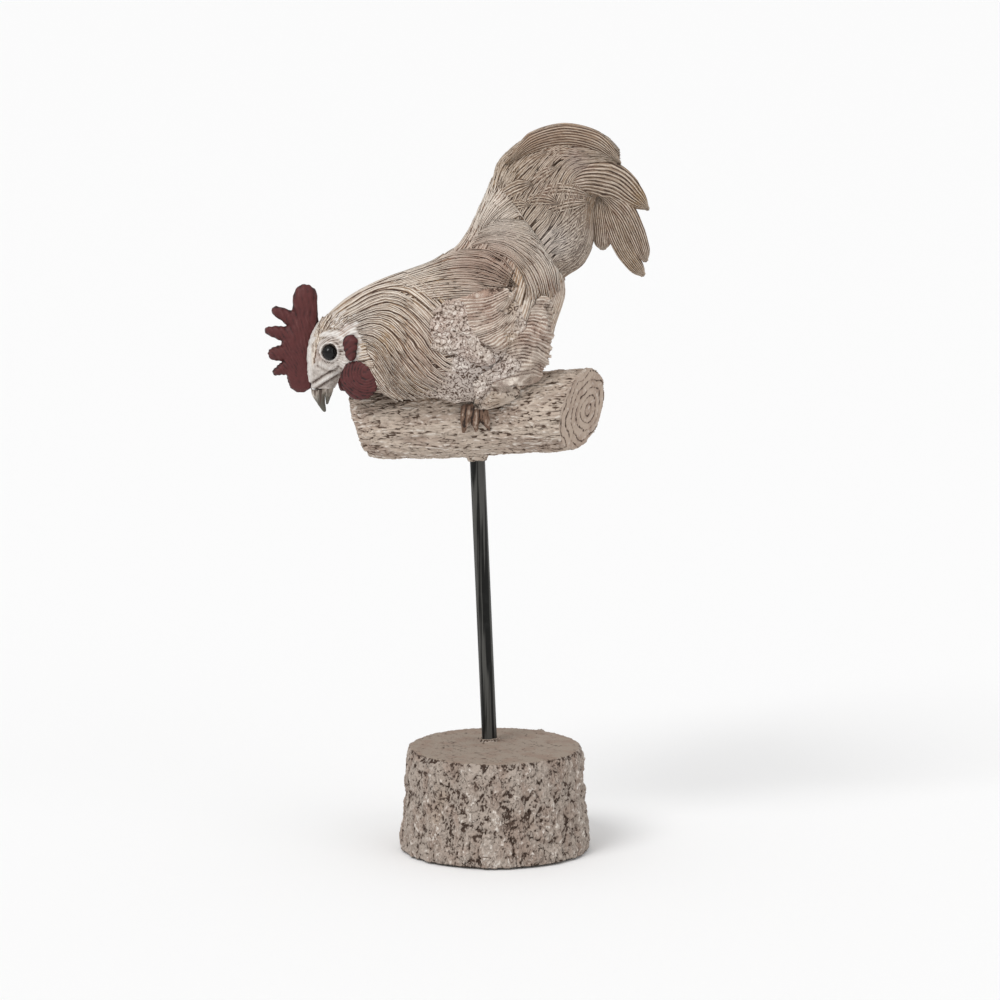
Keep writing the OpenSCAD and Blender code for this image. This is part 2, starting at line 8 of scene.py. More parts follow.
import bpy
import numpy as np
from mathutils.kdtree import KDTree
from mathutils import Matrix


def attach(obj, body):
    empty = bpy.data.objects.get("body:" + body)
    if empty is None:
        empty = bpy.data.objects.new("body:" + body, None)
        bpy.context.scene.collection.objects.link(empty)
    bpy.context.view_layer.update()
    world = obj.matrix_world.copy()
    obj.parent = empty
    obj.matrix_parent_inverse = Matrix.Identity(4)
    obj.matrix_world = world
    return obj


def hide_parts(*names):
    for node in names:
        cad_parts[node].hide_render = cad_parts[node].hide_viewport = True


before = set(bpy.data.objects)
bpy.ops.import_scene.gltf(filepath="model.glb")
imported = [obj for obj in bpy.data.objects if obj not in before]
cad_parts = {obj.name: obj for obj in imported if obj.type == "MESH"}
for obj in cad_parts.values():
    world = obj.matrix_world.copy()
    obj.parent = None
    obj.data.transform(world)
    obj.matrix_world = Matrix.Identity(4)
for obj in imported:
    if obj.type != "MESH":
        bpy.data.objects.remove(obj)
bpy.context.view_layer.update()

LOG = logging.getLogger("hen")
Array = np.ndarray


# Sizes that the solids were drawn to, in metres, and the places that follow from them.
HEN_LENGTH = 0.200
HEN_HEIGHT = 0.132
HEN_WIDTH = 0.064
HEN_ORIGIN = np.array([-0.00728, 0.0110, 0.24955])

# Rings of the hen, as in the solids: the point on the back and on the breast as [x, z] shares,
# the half width share, the squareness, and how much narrower the back is.
HEN_RING_SHARES = np.array([
    [-0.443, -0.047, -0.382, -0.035, 0.090, 2.0, 0.00],
    [-0.452, -0.003, -0.371, 0.000, 0.120, 2.0, 0.00],
    [-0.456, 0.049, -0.364, 0.018, 0.140, 2.1, 0.02],
    [-0.455, 0.101, -0.358, 0.024, 0.155, 2.2, 0.02],
    [-0.448, 0.153, -0.350, 0.015, 0.165, 2.2, 0.00],
    [-0.436, 0.200, -0.340, -0.008, 0.180, 2.2, -0.04],
    [-0.416, 0.240, -0.328, -0.045, 0.200, 2.2, -0.08],
    [-0.386, 0.271, -0.318, -0.090, 0.230, 2.2, -0.08],
    [-0.343, 0.323, -0.304, -0.112, 0.280, 2.3, -0.02],
    [-0.278, 0.376, -0.262, -0.125, 0.360, 2.3, 0.08],
    [-0.196, 0.424, -0.190, -0.125, 0.430, 2.4, 0.16],
    [-0.121, 0.466, -0.110, -0.125, 0.480, 2.4, 0.20],
    [-0.069, 0.523, -0.025, -0.120, 0.500, 2.4, 0.24],
    [-0.040, 0.576, 0.060, -0.095, 0.495, 2.3, 0.24],
    [-0.022, 0.627, 0.124, -0.035, 0.475, 2.3, 0.22],
    [-0.008, 0.677, 0.165, 0.065, 0.445, 2.2, 0.20],
    [0.008, 0.727, 0.192, 0.195, 0.405, 2.1, 0.16],
    [0.020, 0.775, 0.218, 0.325, 0.355, 2.0, 0.12],
    [0.032, 0.812, 0.212, 0.415, 0.300, 2.0, 0.10],
])
TAIL_RING_SHARES = np.array([
    [0.020, 0.700, 0.180, 0.360, 0.28, 2.1, 0.10],
    [0.034, 0.808, 0.226, 0.410, 0.30, 2.1, 0.10],
    [0.046, 0.860, 0.266, 0.456, 0.30, 2.1, 0.10],
    [0.076, 0.908, 0.290, 0.538, 0.29, 2.1, 0.08],
    [0.112, 0.948, 0.294, 0.640, 0.27, 2.0, 0.06],
    [0.153, 0.986, 0.300, 0.700, 0.25, 2.0, 0.05],
    [0.205, 1.000, 0.318, 0.715, 0.22, 2.0, 0.00],
    [0.266, 0.990, 0.340, 0.725, 0.18, 2.0, 0.00],
    [0.322, 0.957, 0.358, 0.740, 0.13, 2.0, 0.00],
    [0.355, 0.905, 0.364, 0.800, 0.07, 2.0, 0.00],
])


class Flank(Enum):
    """The two sides of the hen; the value is the sign of the side's Y direction."""

    LEFT = -1
    RIGHT = 1

    def draws(self, seed: int) -> np.random.Generator:
        """Random draws that differ between the sides."""
        return np.random.default_rng(seed + (0 if self is Flank.LEFT else 1000))


def unit(v: Array) -> Array:
    """Vectors of length one along the last axis."""
    return v / np.maximum(np.linalg.norm(v, axis=-1, keepdims=True), 1e-12)


def smoothstep(low: float, high: float, x: Array) -> Array:
    """A smooth rise from 0 at low to 1 at high."""
    s = np.clip((x - low) / (high - low), 0.0, 1.0)
    return s * s * (3.0 - 2.0 * s)


def through(table: Array, t: Array) -> Array:
    """A smooth curve through the rows of a table.

    Args:
        table: rows of numbers.
        t: places along the table, counted in rows.

    Returns:
        One interpolated row for each place.
    """
    last = len(table) - 1
    t = np.clip(t, 0.0, last)
    i = np.minimum(t.astype(int), last - 1)
    s = (t - i)[..., None]
    a, b, c, d = (table[np.clip(i + k, 0, last)] for k in (-1, 0, 1, 2))
    return b + 0.5 * s * ((c - a) + s * ((2 * a - 5 * b + 4 * c - d) + s * (3 * (b - c) + d - a)))


@dataclass(frozen=True)
class PhotoView:
    """The camera that the photograph fits, and its places in the photograph's own pixels."""

    distance: float = 2.0
    lens: float = 137.5
    sensor: float = 36.0
    elevation: float = math.radians(8.5)
    target: tuple[float, float, float] = (0.0, 0.0, 0.195)
    frame_px: int = 1000
    target_px: tuple[float, float] = (495.2, 484.0)

    def axes(self) -> tuple[Array, Array, Array]:
        """The camera's right, up and forward directions."""
        forward = np.array([0.0, math.cos(self.elevation), -math.sin(self.elevation)])
        right = np.array([1.0, 0.0, 0.0])
        return right, np.cross(right, forward), forward

    def eye(self) -> Array:
        """Where the camera stands."""
        return np.array(self.target) - self.axes()[2] * self.distance

    def focal_px(self) -> float:
        """The focal length in pixels."""
        return self.lens / self.sensor * self.frame_px

    def project(self, points: Array) -> Array:
        """Pixel places of points in space."""
        right, up, forward = self.axes()
        ray = points - self.eye()
        depth = ray @ forward
        x = self.target_px[0] + self.focal_px() * (ray @ right) / depth
        y = self.target_px[1] - self.focal_px() * (ray @ up) / depth
        return np.stack([x, y], -1)

    def on_plane(self, pixels: Array, y: Array) -> Array:
        """Points in space that a pixel shows, on the upright plane at each y."""
        right, up, forward = self.axes()
        across = (pixels[..., 0] - self.target_px[0]) / self.focal_px()
        rise = (self.target_px[1] - pixels[..., 1]) / self.focal_px()
        ray = forward + across[..., None] * right + rise[..., None] * up
        eye = self.eye()
        return eye + ray * ((y - eye[1]) / ray[..., 1])[..., None]

    def camera(self) -> bpy.types.Object:
        """Adds the camera and makes it the scene's own."""
        data = bpy.data.cameras.new("photo_camera")
        data.lens = self.lens
        data.sensor_width = self.sensor
        data.shift_x = 0.5 - self.target_px[0] / self.frame_px
        data.shift_y = self.target_px[1] / self.frame_px - 0.5
        camera = bpy.data.objects.new("photo_camera", data)
        camera.location = self.eye()
        camera.rotation_euler = (math.pi / 2 - self.elevation, 0.0, 0.0)
        bpy.context.scene.collection.objects.link(camera)
        bpy.context.scene.camera = camera
        return camera


VIEW = PhotoView()
PIXEL = VIEW.distance / VIEW.focal_px()


@dataclass
class Loft:
    """A smooth body through rings: place t counts along the rings, angle 0 is on the back."""

    table: Array
    inset: float = 0.0
    grid: Array = field(default=None, repr=False)
    grid_px: Array = field(default=None, repr=False)

    def point(self, t: Array, angle: Array) -> Array:
        """Points on the surface.

        Args:
            t: places along the rings.
            angle: degrees round the ring; positive turns to the hen's left.

        Returns:
            Points in space.
        """
        row = through(self.table, np.asarray(t, float))
        scale = np.array([HEN_LENGTH, HEN_HEIGHT])
        back, breast = row[..., 0:2] * scale, row[..., 2:4] * scale
        middle, half = (back + breast) / 2, (back - breast) / 2
        reach = np.linalg.norm(half, axis=-1)
        up = half / reach[..., None]
        a = np.radians(angle)
        power = 2.0 / row[..., 5]
        c = np.sign(np.cos(a)) * np.abs(np.cos(a)) ** power
        s = np.sign(np.sin(a)) * np.abs(np.sin(a)) ** power
        flat = middle + up * ((reach - self.inset) * c)[..., None]
        side = -(row[..., 4] * HEN_WIDTH - self.inset) * s * (1 - row[..., 6] * c)
        return np.stack([flat[..., 0], side, flat[..., 1]], -1) + HEN_ORIGIN

    def slopes(self, t: Array, angle: Array) -> tuple[Array, Array]:
        """Changes of the point with t and with the angle."""
        dt, da = 0.01, 0.5
        along = (self.point(t + dt, angle) - self.point(t - dt, angle)) / (2 * dt)
        around = (self.point(t, angle + da) - self.point(t, angle - da)) / (2 * da)
        return along, around

    def normal(self, t: Array, angle: Array) -> Array:
        """Outward directions of the surface."""
        inner = np.clip(t, 0.05, len(self.table) - 1.05)
        along, around = self.slopes(inner, angle)
        return unit(np.cross(around, along))

    def find(self, pixels: Array) -> Array:
        """Places on the left side that show at pixels of the photograph.

        Args:
            pixels: an array of pixel places, with the last axis of two.

        Returns:
            The places as t and angle, in the same layout.
        """
        if self.grid is None:
            t = np.linspace(0, len(self.table) - 1, 421)
            angle = np.linspace(2, 178, 265)
            tt, aa = np.meshgrid(t, angle, indexing="ij")
            points = self.point(tt, aa)
            facing = (self.normal(tt, aa) * (points - VIEW.eye())).sum(-1) < 0
            self.grid = np.stack([tt[facing], aa[facing]], -1)
            self.grid_px = VIEW.project(points[facing])
        flat = np.asarray(pixels, float).reshape(-1, 2)
        near = [np.argmin(((self.grid_px - p) ** 2).sum(1)) for p in flat]
        found = self.grid[near].copy()
        for _ in range(3):
            gap = flat - VIEW.project(self.point(found[:, 0], found[:, 1]))
            dt = (VIEW.project(self.point(found[:, 0] + 0.01, found[:, 1])) - flat + gap) / 0.01
            da = (VIEW.project(self.point(found[:, 0], found[:, 1] + 0.1)) - flat + gap) / 0.1
            det = dt[:, 0] * da[:, 1] - dt[:, 1] * da[:, 0]
            safe = np.where(np.abs(det) < 0.05, np.inf, det)
            move = np.stack([(gap[:, 0] * da[:, 1] - gap[:, 1] * da[:, 0]) / safe,
                             (gap[:, 1] * dt[:, 0] - gap[:, 0] * dt[:, 1]) / safe], -1)
            found += np.clip(move, [-0.05, -1.0], [0.05, 1.0])
            found = np.clip(found, [0.0, 1.0], [len(self.table) - 1.0, 179.0])
        return found.reshape(np.asarray(pixels).shape)


MIDDLE = float(HEN_ORIGIN[1])
HEN = Loft(HEN_RING_SHARES, inset=0.0010)
TAIL = Loft(TAIL_RING_SHARES, inset=0.0012)


def give_values(mesh: bpy.types.Mesh, quill: Array, relief: Array, zone: Array) -> None:
    """Gives a mesh the point values that its material reads."""
    for name, values in (("quill", quill), ("zone", zone)):
        layer = mesh.attributes.new(name, "FLOAT_VECTOR", "POINT")
        layer.data.foreach_set("vector", values.astype(np.float32).ravel())
    layer = mesh.attributes.new("relief", "FLOAT", "POINT")
    layer.data.foreach_set("value", relief.astype(np.float32))


def sort_faces(piece: bpy.types.Object, kinds: Array, *materials: bpy.types.Material) -> None:
    """Adds materials to a piece, and gives each face the one that its first point's kind names."""
    for material in materials:
        piece.data.materials.append(material)
    piece.data.polygons.foreach_set("material_index", [int(kinds[face.vertices[0]])
                                                       for face in piece.data.polygons])


@dataclass
class Shape:
    """Points, faces and point values that gather into one mesh."""

    points: list[Array] = field(default_factory=list)
    faces: list[Array] = field(default_factory=list)
    quills: list[Array] = field(default_factory=list)
    reliefs: list[Array] = field(default_factory=list)
    count: int = 0

    def add(self, points: Array, faces: Array, quill: Array, relief: Array) -> None:
        """Adds a batch of points with its faces.

        Args:
            points: rows of points.
            faces: rows of four corners, counted within the batch; a triangle repeats its last one.
            quill: rows of place along, place across and tint.
            relief: how far each point stands out of its surroundings, from 0 to 1.
        """
        self.points.append(points.reshape(-1, 3))
        self.faces.append(faces.reshape(-1, 4) + self.count)
        self.quills.append(quill.reshape(-1, 3))
        self.reliefs.append(relief.reshape(-1))
        self.count += len(self.points[-1])

    def build(self, name: str, material: bpy.types.Material) -> bpy.types.Object:
        """Makes the mesh object, shaded smooth, with one material."""
        points = np.concatenate(self.points)
        faces = np.concatenate(self.faces)
        mesh = bpy.data.meshes.new(name)
        triangles = faces[:, 2] == faces[:, 3]
        sizes = np.where(triangles, 3, 4)
        keep = np.ones(faces.shape, bool)
        keep[triangles, 3] = False
        corners = faces[keep]
        mesh.vertices.add(len(points))
        mesh.vertices.foreach_set("co", points.astype(np.float32).ravel())
        mesh.loops.add(len(corners))
        mesh.loops.foreach_set("vertex_index", corners.astype(np.int32))
        mesh.polygons.add(len(faces))
        starts = np.concatenate([[0], np.cumsum(sizes)[:-1]])
        mesh.polygons.foreach_set("loop_start", starts.astype(np.int32))
        mesh.polygons.foreach_set("use_smooth", np.ones(len(faces), bool))
        give_values(mesh, np.concatenate(self.quills), np.concatenate(self.reliefs), tinted(points))
        mesh.update(calc_edges=True)
        mesh.validate()
        piece = bpy.data.objects.new(name, mesh)
        bpy.context.scene.collection.objects.link(piece)
        mesh.materials.append(material)
        LOG.info("%s: %d points, %d faces", name, len(points), len(faces))
        return piece


def settle(piece: bpy.types.Object, slot: str, *nodes: str) -> None:
    """Rides a piece on the part's body and hides the solids that it stands for."""
    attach(piece, "root")
    if nodes:
        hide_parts(*nodes)


def tube_faces(rows: int, columns: int) -> Array:
    """Four-cornered faces between the rings of a tube of points, with a fan at both ends."""
    i, j = np.meshgrid(np.arange(rows - 1), np.arange(columns), indexing="ij")
    k = (j + 1) % columns
    quads = np.stack([i * columns + j, i * columns + k, (i + 1) * columns + k, (i + 1) * columns + j], -1)
    fan = np.arange(1, columns - 1)
    first = np.stack([np.zeros_like(fan), fan + 1, fan, fan], -1)
    base = (rows - 1) * columns
    last = np.stack([np.full_like(fan, base), base + fan, base + fan + 1, base + fan + 1], -1)
    return np.concatenate([quads.reshape(-1, 4), first, last])


class Rasp:
    """Heights over a loft on a grid of t and angle, from which the relief of each point is read."""

    def __init__(self, loft: Loft, cells: tuple[int, int] = (330, 250)) -> None:
        """Starts a grid at height zero."""
        self.last = len(loft.table) - 1
        self.cells = cells
        self.top = np.zeros(cells)

    def index(self, t: Array, angle: Array) -> tuple[Array, Array]:
        """Grid places, as fractions of cells."""
        return t / self.last * (self.cells[0] - 1), (angle % 360.0) / 360.0 * self.cells[1]

    def cell(self, t: Array, angle: Array) -> tuple[Array, Array]:
        """The nearest cells of the grid."""
        i, j = self.index(t, angle)
        return np.clip(np.rint(i).astype(int), 0, self.cells[0] - 1), np.rint(j).astype(int) % self.cells[1]

    def press(self, t: Array, angle: Array, height: Array) -> None:
        """Raises the grid to the given heights."""
        np.maximum.at(self.top, self.cell(t.ravel(), angle.ravel()), height.ravel())

    def read(self, t: Array, angle: Array) -> Array:
        """Heights of the grid at places on the loft."""
        return self.top[self.cell(t, angle)]

    def relief(self, t: Array, angle: Array, height: Array, reach: float) -> Array:
        """How far points stand out of their surroundings: 0 in a groove, 1 on a ridge."""
        soft = self.top
        for _ in range(2):
            rows = np.pad(soft, ((2, 2), (0, 0)), mode="edge")
            soft = sum(rows[k:k + self.cells[0]] for k in range(5)) / 5
            soft = sum(np.roll(soft, k, axis=1) for k in range(-2, 3)) / 5
        i, j = self.index(t, angle)
        i = np.clip(i, 0, self.cells[0] - 1.001)
        i0, j0 = i.astype(int), j.astype(int)
        u, v = i - i0, j - j0
        j0, j1 = j0 % self.cells[1], (j0 + 1) % self.cells[1]
        low = soft[i0, j0] * (1 - v) + soft[i0, j1] * v
        high = soft[i0 + 1, j0] * (1 - v) + soft[i0 + 1, j1] * v
        return np.clip(0.5 + (height - (low * (1 - u) + high * u)) / reach, 0.0, 1.0)


@dataclass(frozen=True)
class Vane:
    """The cross-section of a carved strand or feather: columns across, and how its top bulges."""

    columns: int = 7
    rows: int = 26
    thickness: float = 0.0011
    ripple: float = 0.0
    ripples: float = 2.0
    barb: float = 0.0
    barb_pitch: float = 0.0013
    barb_slope: float = 0.9
    sink: float = 0.0012
    blunt: float = 0.12
    taper: float = 0.55
    roundness: float = 2.2
    # strength of the painted highlight and shade lines along each strand
    edge: float = 1.0
    crisp: float = 0.1
    weight: float = 0.75
    hairs: float = 1.0

    def across(self) -> Array:
        """Places across the vane, from edge to edge."""
        return np.linspace(-1.0, 1.0, self.columns)

    def width(self, s: Array) -> Array:
        """Share of the full half width at each place along the vane."""
        root = np.minimum(1.0, 0.45 + 2.2 * s)
        fade = np.clip((s - self.taper) / (1 - self.taper), 0, 1) ** self.roundness
        return root * np.maximum(np.clip(1.0 - fade, 0, 1) ** 0.75, self.blunt * (s < 0.999))

    def height(self, s: Array, v: Array, along: Array, half_width: Array) -> Array:
        """Height of the top over the surface.

        Args:
            s: places along the vane, from 0 to 1.
            v: places across it, from -1 to 1.
            along: the same places along it, in metres.
            half_width: the half width there, in metres.

        Returns:
            Heights in metres, without lift.
        """
        dome = self.thickness * (np.sqrt(np.clip(1.0 - v * v, 0, 1)) * 0.75 + 0.25 * (1 - np.abs(v)))
        return dome + self.detail(s, v, along, half_width)

    def detail(self, s: Array, v: Array, along: Array, half_width: Array) -> Array:
        """Height of the fine ridges and barbs alone, with the places of height."""
        ridges = self.ripple * np.cos(math.pi * (self.ripples * 2 + 1) * v) * (1 - v * v)
        phase = (along - self.barb_slope * np.abs(v) * half_width) / self.barb_pitch
        phase = phase + 0.35 * np.sin(along * 700.0) + 0.25 * np.sin(along * 1900.0 + 3 * v)
        barbs = self.barb * (np.abs(2 * (phase - np.floor(phase)) - 1) - 0.5) * np.minimum(1, 6 * np.abs(v))
        return ridges + barbs * smoothstep(0, 0.1, s)

    def shade(self, s: Array, v: Array, along: Array, half_width: Array) -> Array:
        """How much each point is lightened or darkened: a painted highlight line along one side of the
        strand, painted shade along its other side and edge, and the fine relief's grooves and ridges.
        """
        # Painted highlight line at v = 0.5; painted shade at v = -0.75 and towards the edge at v = 1.
        line = 0.42 * np.exp(-((v - 0.5) / 0.16) ** 2) - 0.5 * np.exp(-((v + 0.75) / 0.2) ** 2) \
            - 0.5 * smoothstep(0.8, 1.0, v)
        fine = self.detail(s, v, along, half_width)
        return self.edge * line + self.crisp * fine / (self.barb + self.ripple + 1e-6)

    def quill(self, s: Array, v: Array, tint: Array | float) -> Array:
        """The values that the material reads: place along, place across in hairs, and tint."""
        return np.stack(np.broadcast_arrays(s, v * self.hairs, tint), -1)


def lengths(line: Array) -> Array:
    """The way along lines to each of their points, the points being on the last axis but one."""
    way = np.cumsum(np.linalg.norm(np.diff(line, axis=-2), axis=-1), axis=-1)
    return np.concatenate([np.zeros(way.shape[:-1] + (1,)), way], axis=-1)


def comb_rows(values: list | tuple, count: int) -> Array:
    """Resamples control points to a count of evenly parted places on a smooth curve."""
    fine = through(np.array(values, float), np.linspace(0, len(values) - 1, count * 4))
    length = lengths(fine)
    even = np.linspace(0, length[-1], count)
    return np.stack([np.interp(even, length, column) for column in fine.T], -1)


def profile(s: Array, values: tuple) -> Array:
    """Evenly parted values read at shares of the way along them."""
    return np.interp(s, np.linspace(0, 1, len(values)), values)


@dataclass
class Flow:
    """A sheet of feathers that run between guide lines drawn over the photograph.

    The guides are lists of pixel places on the left side; the right side mirrors them.
    """

    loft: Loft
    guides_px: list[list[tuple[float, float]]]
    samples: int = 12
    net: Array = field(default=None, repr=False)

    def __post_init__(self) -> None:
        """Lays the guides on the loft."""
        if self.net is not None:
            self.samples = self.net.shape[1]
            return
        rows = [comb_rows(line, self.samples) for line in self.guides_px]
        self.net = self.loft.find(np.stack(rows))

    def place(self, a: Array, b: Array) -> Array:
        """Places between the guides.

        Args:
            a: shares of the way from the first guide to the last.
            b: shares of the way along the guides.

        Returns:
            t and angle for each place.
        """
        table = self.net.reshape(len(self.net), -1)
        across = through(table, np.asarray(a, float) * (len(self.net) - 1))
        across = across.reshape(across.shape[:-1] + self.net.shape[1:])
        along = np.asarray(b, float) * (self.samples - 1)
        i = np.clip(along.astype(int), 0, self.samples - 2)
        s = (along - i)[..., None]
        low, high = (np.take_along_axis(
            across, np.broadcast_to(k[..., None, None], across.shape[:-2] + (1, 2)), axis=-2)[..., 0, :]
            for k in (i, i + 1))
        return low * (1 - s) + high * s


@dataclass
class Combing:
    """Fine strokes that run between guide lines drawn over the photograph."""

    guides_px: list[list[tuple[float, float]]]
    strokes: int

    def read(self, points: Array, seed: int) -> tuple[Array, Array, Array]:
        """Reads the strokes at points.

        Args:
            points: rows of points; those on the hen's right side are mirrored.
            seed: picks how the strokes waver.

        Returns:
            The share along the guides, the turn across them in strokes, and a wave of -1 to 1.
        """
        rows = np.stack([comb_rows(line, 50) for line in self.guides_px])
        a, b = np.linspace(0, 1, 140), np.linspace(0, 1, 50)
        net = through(rows.reshape(len(rows), -1), a * (len(rows) - 1)).reshape(-1, 50, 2)
        tree = KDTree(len(a) * len(b))
        for i, place in enumerate(net.reshape(-1, 2)):
            tree.insert((place[0], place[1], 0.0), i)
        tree.balance()
        along, turn = np.empty(len(points)), np.empty(len(points))
        for k, place in enumerate(seen(points)):
            found = tree.find_n((place[0], place[1], 0.0), 5)
            weight = np.array([1.0 / (gap + 0.02) ** 2 for _, _, gap in found])
            at = np.array([i for _, i, _ in found])
            turn[k] = (a[at // 50] * weight).sum() / weight.sum()
            along[k] = (b[at % 50] * weight).sum() / weight.sum()
        turn = turn * self.strokes + 0.35 * clouds(points, 0.006, seed, 2)
        return along, turn, np.sin(2 * math.pi * turn)


@dataclass
class Batch:
    """Alike strands or feathers that wait for the relief grid: rows of points with their places."""

    points: Array
    faces: Array
    inward: Array
    quill: Array
    t: Array
    angle: Array
    height: Array
    shade: Array | float = 0.0
    weight: float = 0.75

    def bare(self, rasp: Rasp) -> "Batch":
        """The strands that still show where others have been pressed into the grid already."""
        show = (rasp.read(self.t, self.angle) < 0.0003).mean(axis=(1, 2)) > 0.1
        show &= tucked(seen(self.points)).mean(axis=(1, 2)) < 0.4
        show &= fluffy(seen(self.points)).mean(axis=(1, 2)) < 0.5
        return Batch(self.points[show], self.faces, self.inward[show], self.quill[show], self.t[show],
                     self.angle[show], self.height[show], self.shade[show], self.weight)

    def add_to(self, shape: Shape, rasp: Rasp, reach: float, lighten: float) -> None:
        """Adds the batch to a mesh, with the relief of each point.

        Args:
            shape: the mesh.
            rasp: the grid of heights that it was pressed into.
            reach: the difference in height that counts as fully out or in.
            lighten: how much paler the strands are painted; it lifts strands that lie low or in shade, a
                painted light.
        """
        relief = self.height
        if self.t is not None:
            relief = rasp.relief(self.t, self.angle, self.height, reach)
            # The shade adds the strands' painted highlight and shade lines; lighten lifts the paint as
            # painted light where strands lie in shade.
            relief = np.clip(0.5 + self.weight * (relief - 0.5) + self.shade + lighten, 0, 1)
        sound = np.linalg.norm(np.diff(self.points, axis=1), axis=-1).max(axis=(1, 2)) < 0.006
        flipped = self.faces[:, [3, 2, 1, 0]]
        triangle = self.faces[:, 2] == self.faces[:, 3]
        flipped[triangle] = self.faces[triangle][:, [1, 0, 2, 2]]
        points = self.points[sound]
        starts = np.arange(len(points)) * points.shape[1] * points.shape[2]
        faces = np.where(self.inward[sound, None, None], flipped, self.faces) + starts[:, None, None]
        shape.add(points, faces, self.quill[sound], relief[sound])


@dataclass
class Strands:
    """Layers of strands that follow a flow, each layer lying over the ends of the next."""

    flow: Flow
    vane: Vane
    layers: list[tuple[float, float, float]]
    count: int
    seed: int
    overlap: float = 1.35
    stray: float = 0.35
    tip_lift: float = 0.0004
    jitter: float = 0.06
    widest: float = 0.0021
    depth: float = 0.0
    hidden: bool = False

    def grow(self, rasp: Rasp, side: Flank) -> list[Batch]:
        """Makes the strands of one side and presses them into the relief grid.

        Args:
            rasp: the grid of heights.
            side: the side of the hen.

        Returns:
            The layers, to be added to a mesh once the whole grid is known.
        """
        draw = side.draws(self.seed)
        loft, vane = self.flow.loft, self.vane
        batches = []
        for depth, (start, end, rise) in enumerate(reversed(self.layers)):
            n, rows, columns = self.count, vane.rows, vane.columns
            shift = draw.uniform(-self.stray, self.stray, n) / n
            a = np.clip((np.arange(n) + 0.5 + 0.5 * (depth % 2)) / n + shift, 0.0, 1.0)
            b0 = np.clip(start + draw.uniform(-self.jitter, self.jitter, n), 0.0, 0.96)
            b1 = np.clip(end + draw.uniform(-self.jitter, self.jitter, n), b0 + 0.04, 1.0)
            s = np.linspace(0.0, 1.0, rows)
            b = b0[:, None] + (b1 - b0)[:, None] * s
            wander = draw.uniform(-1, 1, n)[:, None] * s ** 2 * 0.6 / n
            aa = np.clip(a[:, None] + wander, 0.0, 1.0)
            spot = self.flow.place(aa, b)
            half = 0.5 / n
            near = self.flow.place(np.clip(aa - half, 0, 1), b)
            far = self.flow.place(np.clip(aa + half, 0, 1), b)
            pitch = np.linalg.norm(loft.point(near[..., 0], near[..., 1])
                                   - loft.point(far[..., 0], far[..., 1]), axis=-1)
            width = 0.5 * self.overlap * pitch * draw.uniform(0.8, 1.2, n)[:, None]
            width = np.minimum(width, self.widest) * vane.width(s)
            batches.append(self.lay(loft, spot, width, s, rise - self.depth, draw, side, rasp))
        return batches

    def lay(self, loft: Loft, spot: Array, width: Array, s: Array, rise: float,
            draw: np.random.Generator, side: Flank, rasp: Rasp, stack: float = 0.0) -> Batch:
        """Works out the points of one layer of strands, stack telling how much it climbs on those below."""
        vane = self.vane
        t, angle = spot[..., 0], spot[..., 1]
        if side is Flank.RIGHT:
            angle = 360.0 - angle
        centre = loft.point(t, angle)
        tangent = unit(np.gradient(centre, axis=1))
        normal = loft.normal(t, angle)
        across = unit(np.cross(normal, tangent))
        dt, da = loft.slopes(t, angle)
        aa, bb, ab = (dt * dt).sum(-1), (da * da).sum(-1), (dt * da).sum(-1)
        pt, pa = (dt * across).sum(-1), (da * across).sum(-1)
        det = np.maximum(aa * bb - ab * ab, 1e-18)
        gt, ga = (pt * bb - pa * ab) / det, (pa * aa - pt * ab) / det
        v = vane.across()
        reach = width[..., None] * v
        tt = np.clip(t[..., None] + gt[..., None] * reach, 0.02, len(loft.table) - 1.02)
        gg = angle[..., None] + ga[..., None] * reach
        base = loft.point(tt, gg)
        out = loft.normal(tt, gg)
        spread = s[None, :, None], v[None, None, :], lengths(centre)[..., None], width[..., None]
        top = vane.height(*spread)
        sink = -vane.sink * (np.abs(v) > 0.999)
        lift = rise + self.tip_lift * s[None, :, None] ** 2
        lift = lift - 1.4 * vane.thickness * (1 - smoothstep(0.0, 0.16, s))[None, :, None]
        if stack:
            under = np.maximum(rasp.read(tt, gg), 0.0).mean(axis=-1)
            even = np.ones(9) / 9
            under = [np.convolve(np.pad(row, 4, mode="edge"), even, mode="valid") for row in under]
            lift = lift + stack * np.stack(under)[..., None]
        height = np.where(np.abs(v)[None, None, :] > 0.999, lift + sink, lift + top)
        points = base + out * height[..., None]
        quill = vane.quill(*spread[:2], draw.uniform(0, 1, len(t))[:, None, None])
        if not self.hidden:
            rasp.press(tt, gg, height)
        faces = tube_faces(vane.rows, vane.columns)
        middle, column = vane.rows // 2, vane.columns // 2
        face = points[:, [middle, middle, middle + 1], [column, column + 1, column + 1]]
        turn = np.cross(face[:, 1] - face[:, 0], face[:, 2] - face[:, 0])
        inward = (turn * normal[:, middle]).sum(-1) < 0
        return Batch(points, faces, inward, quill, tt, gg, height, vane.shade(*spread), vane.weight)


def scatter(cells: Array, seed: int) -> Array:
    """Even random numbers from 0 to 1 for whole-numbered cells in space."""
    x, y, z = np.moveaxis(cells, -1, 0)
    mixed = (x * 73856093) ^ (y * 19349663) ^ (z * 83492791) ^ (seed * 2654435)
    mixed = (mixed ^ (mixed >> 13)) * 1274126177
    return ((mixed ^ (mixed >> 16)) & 0xFFFFFF) / float(0xFFFFFF)


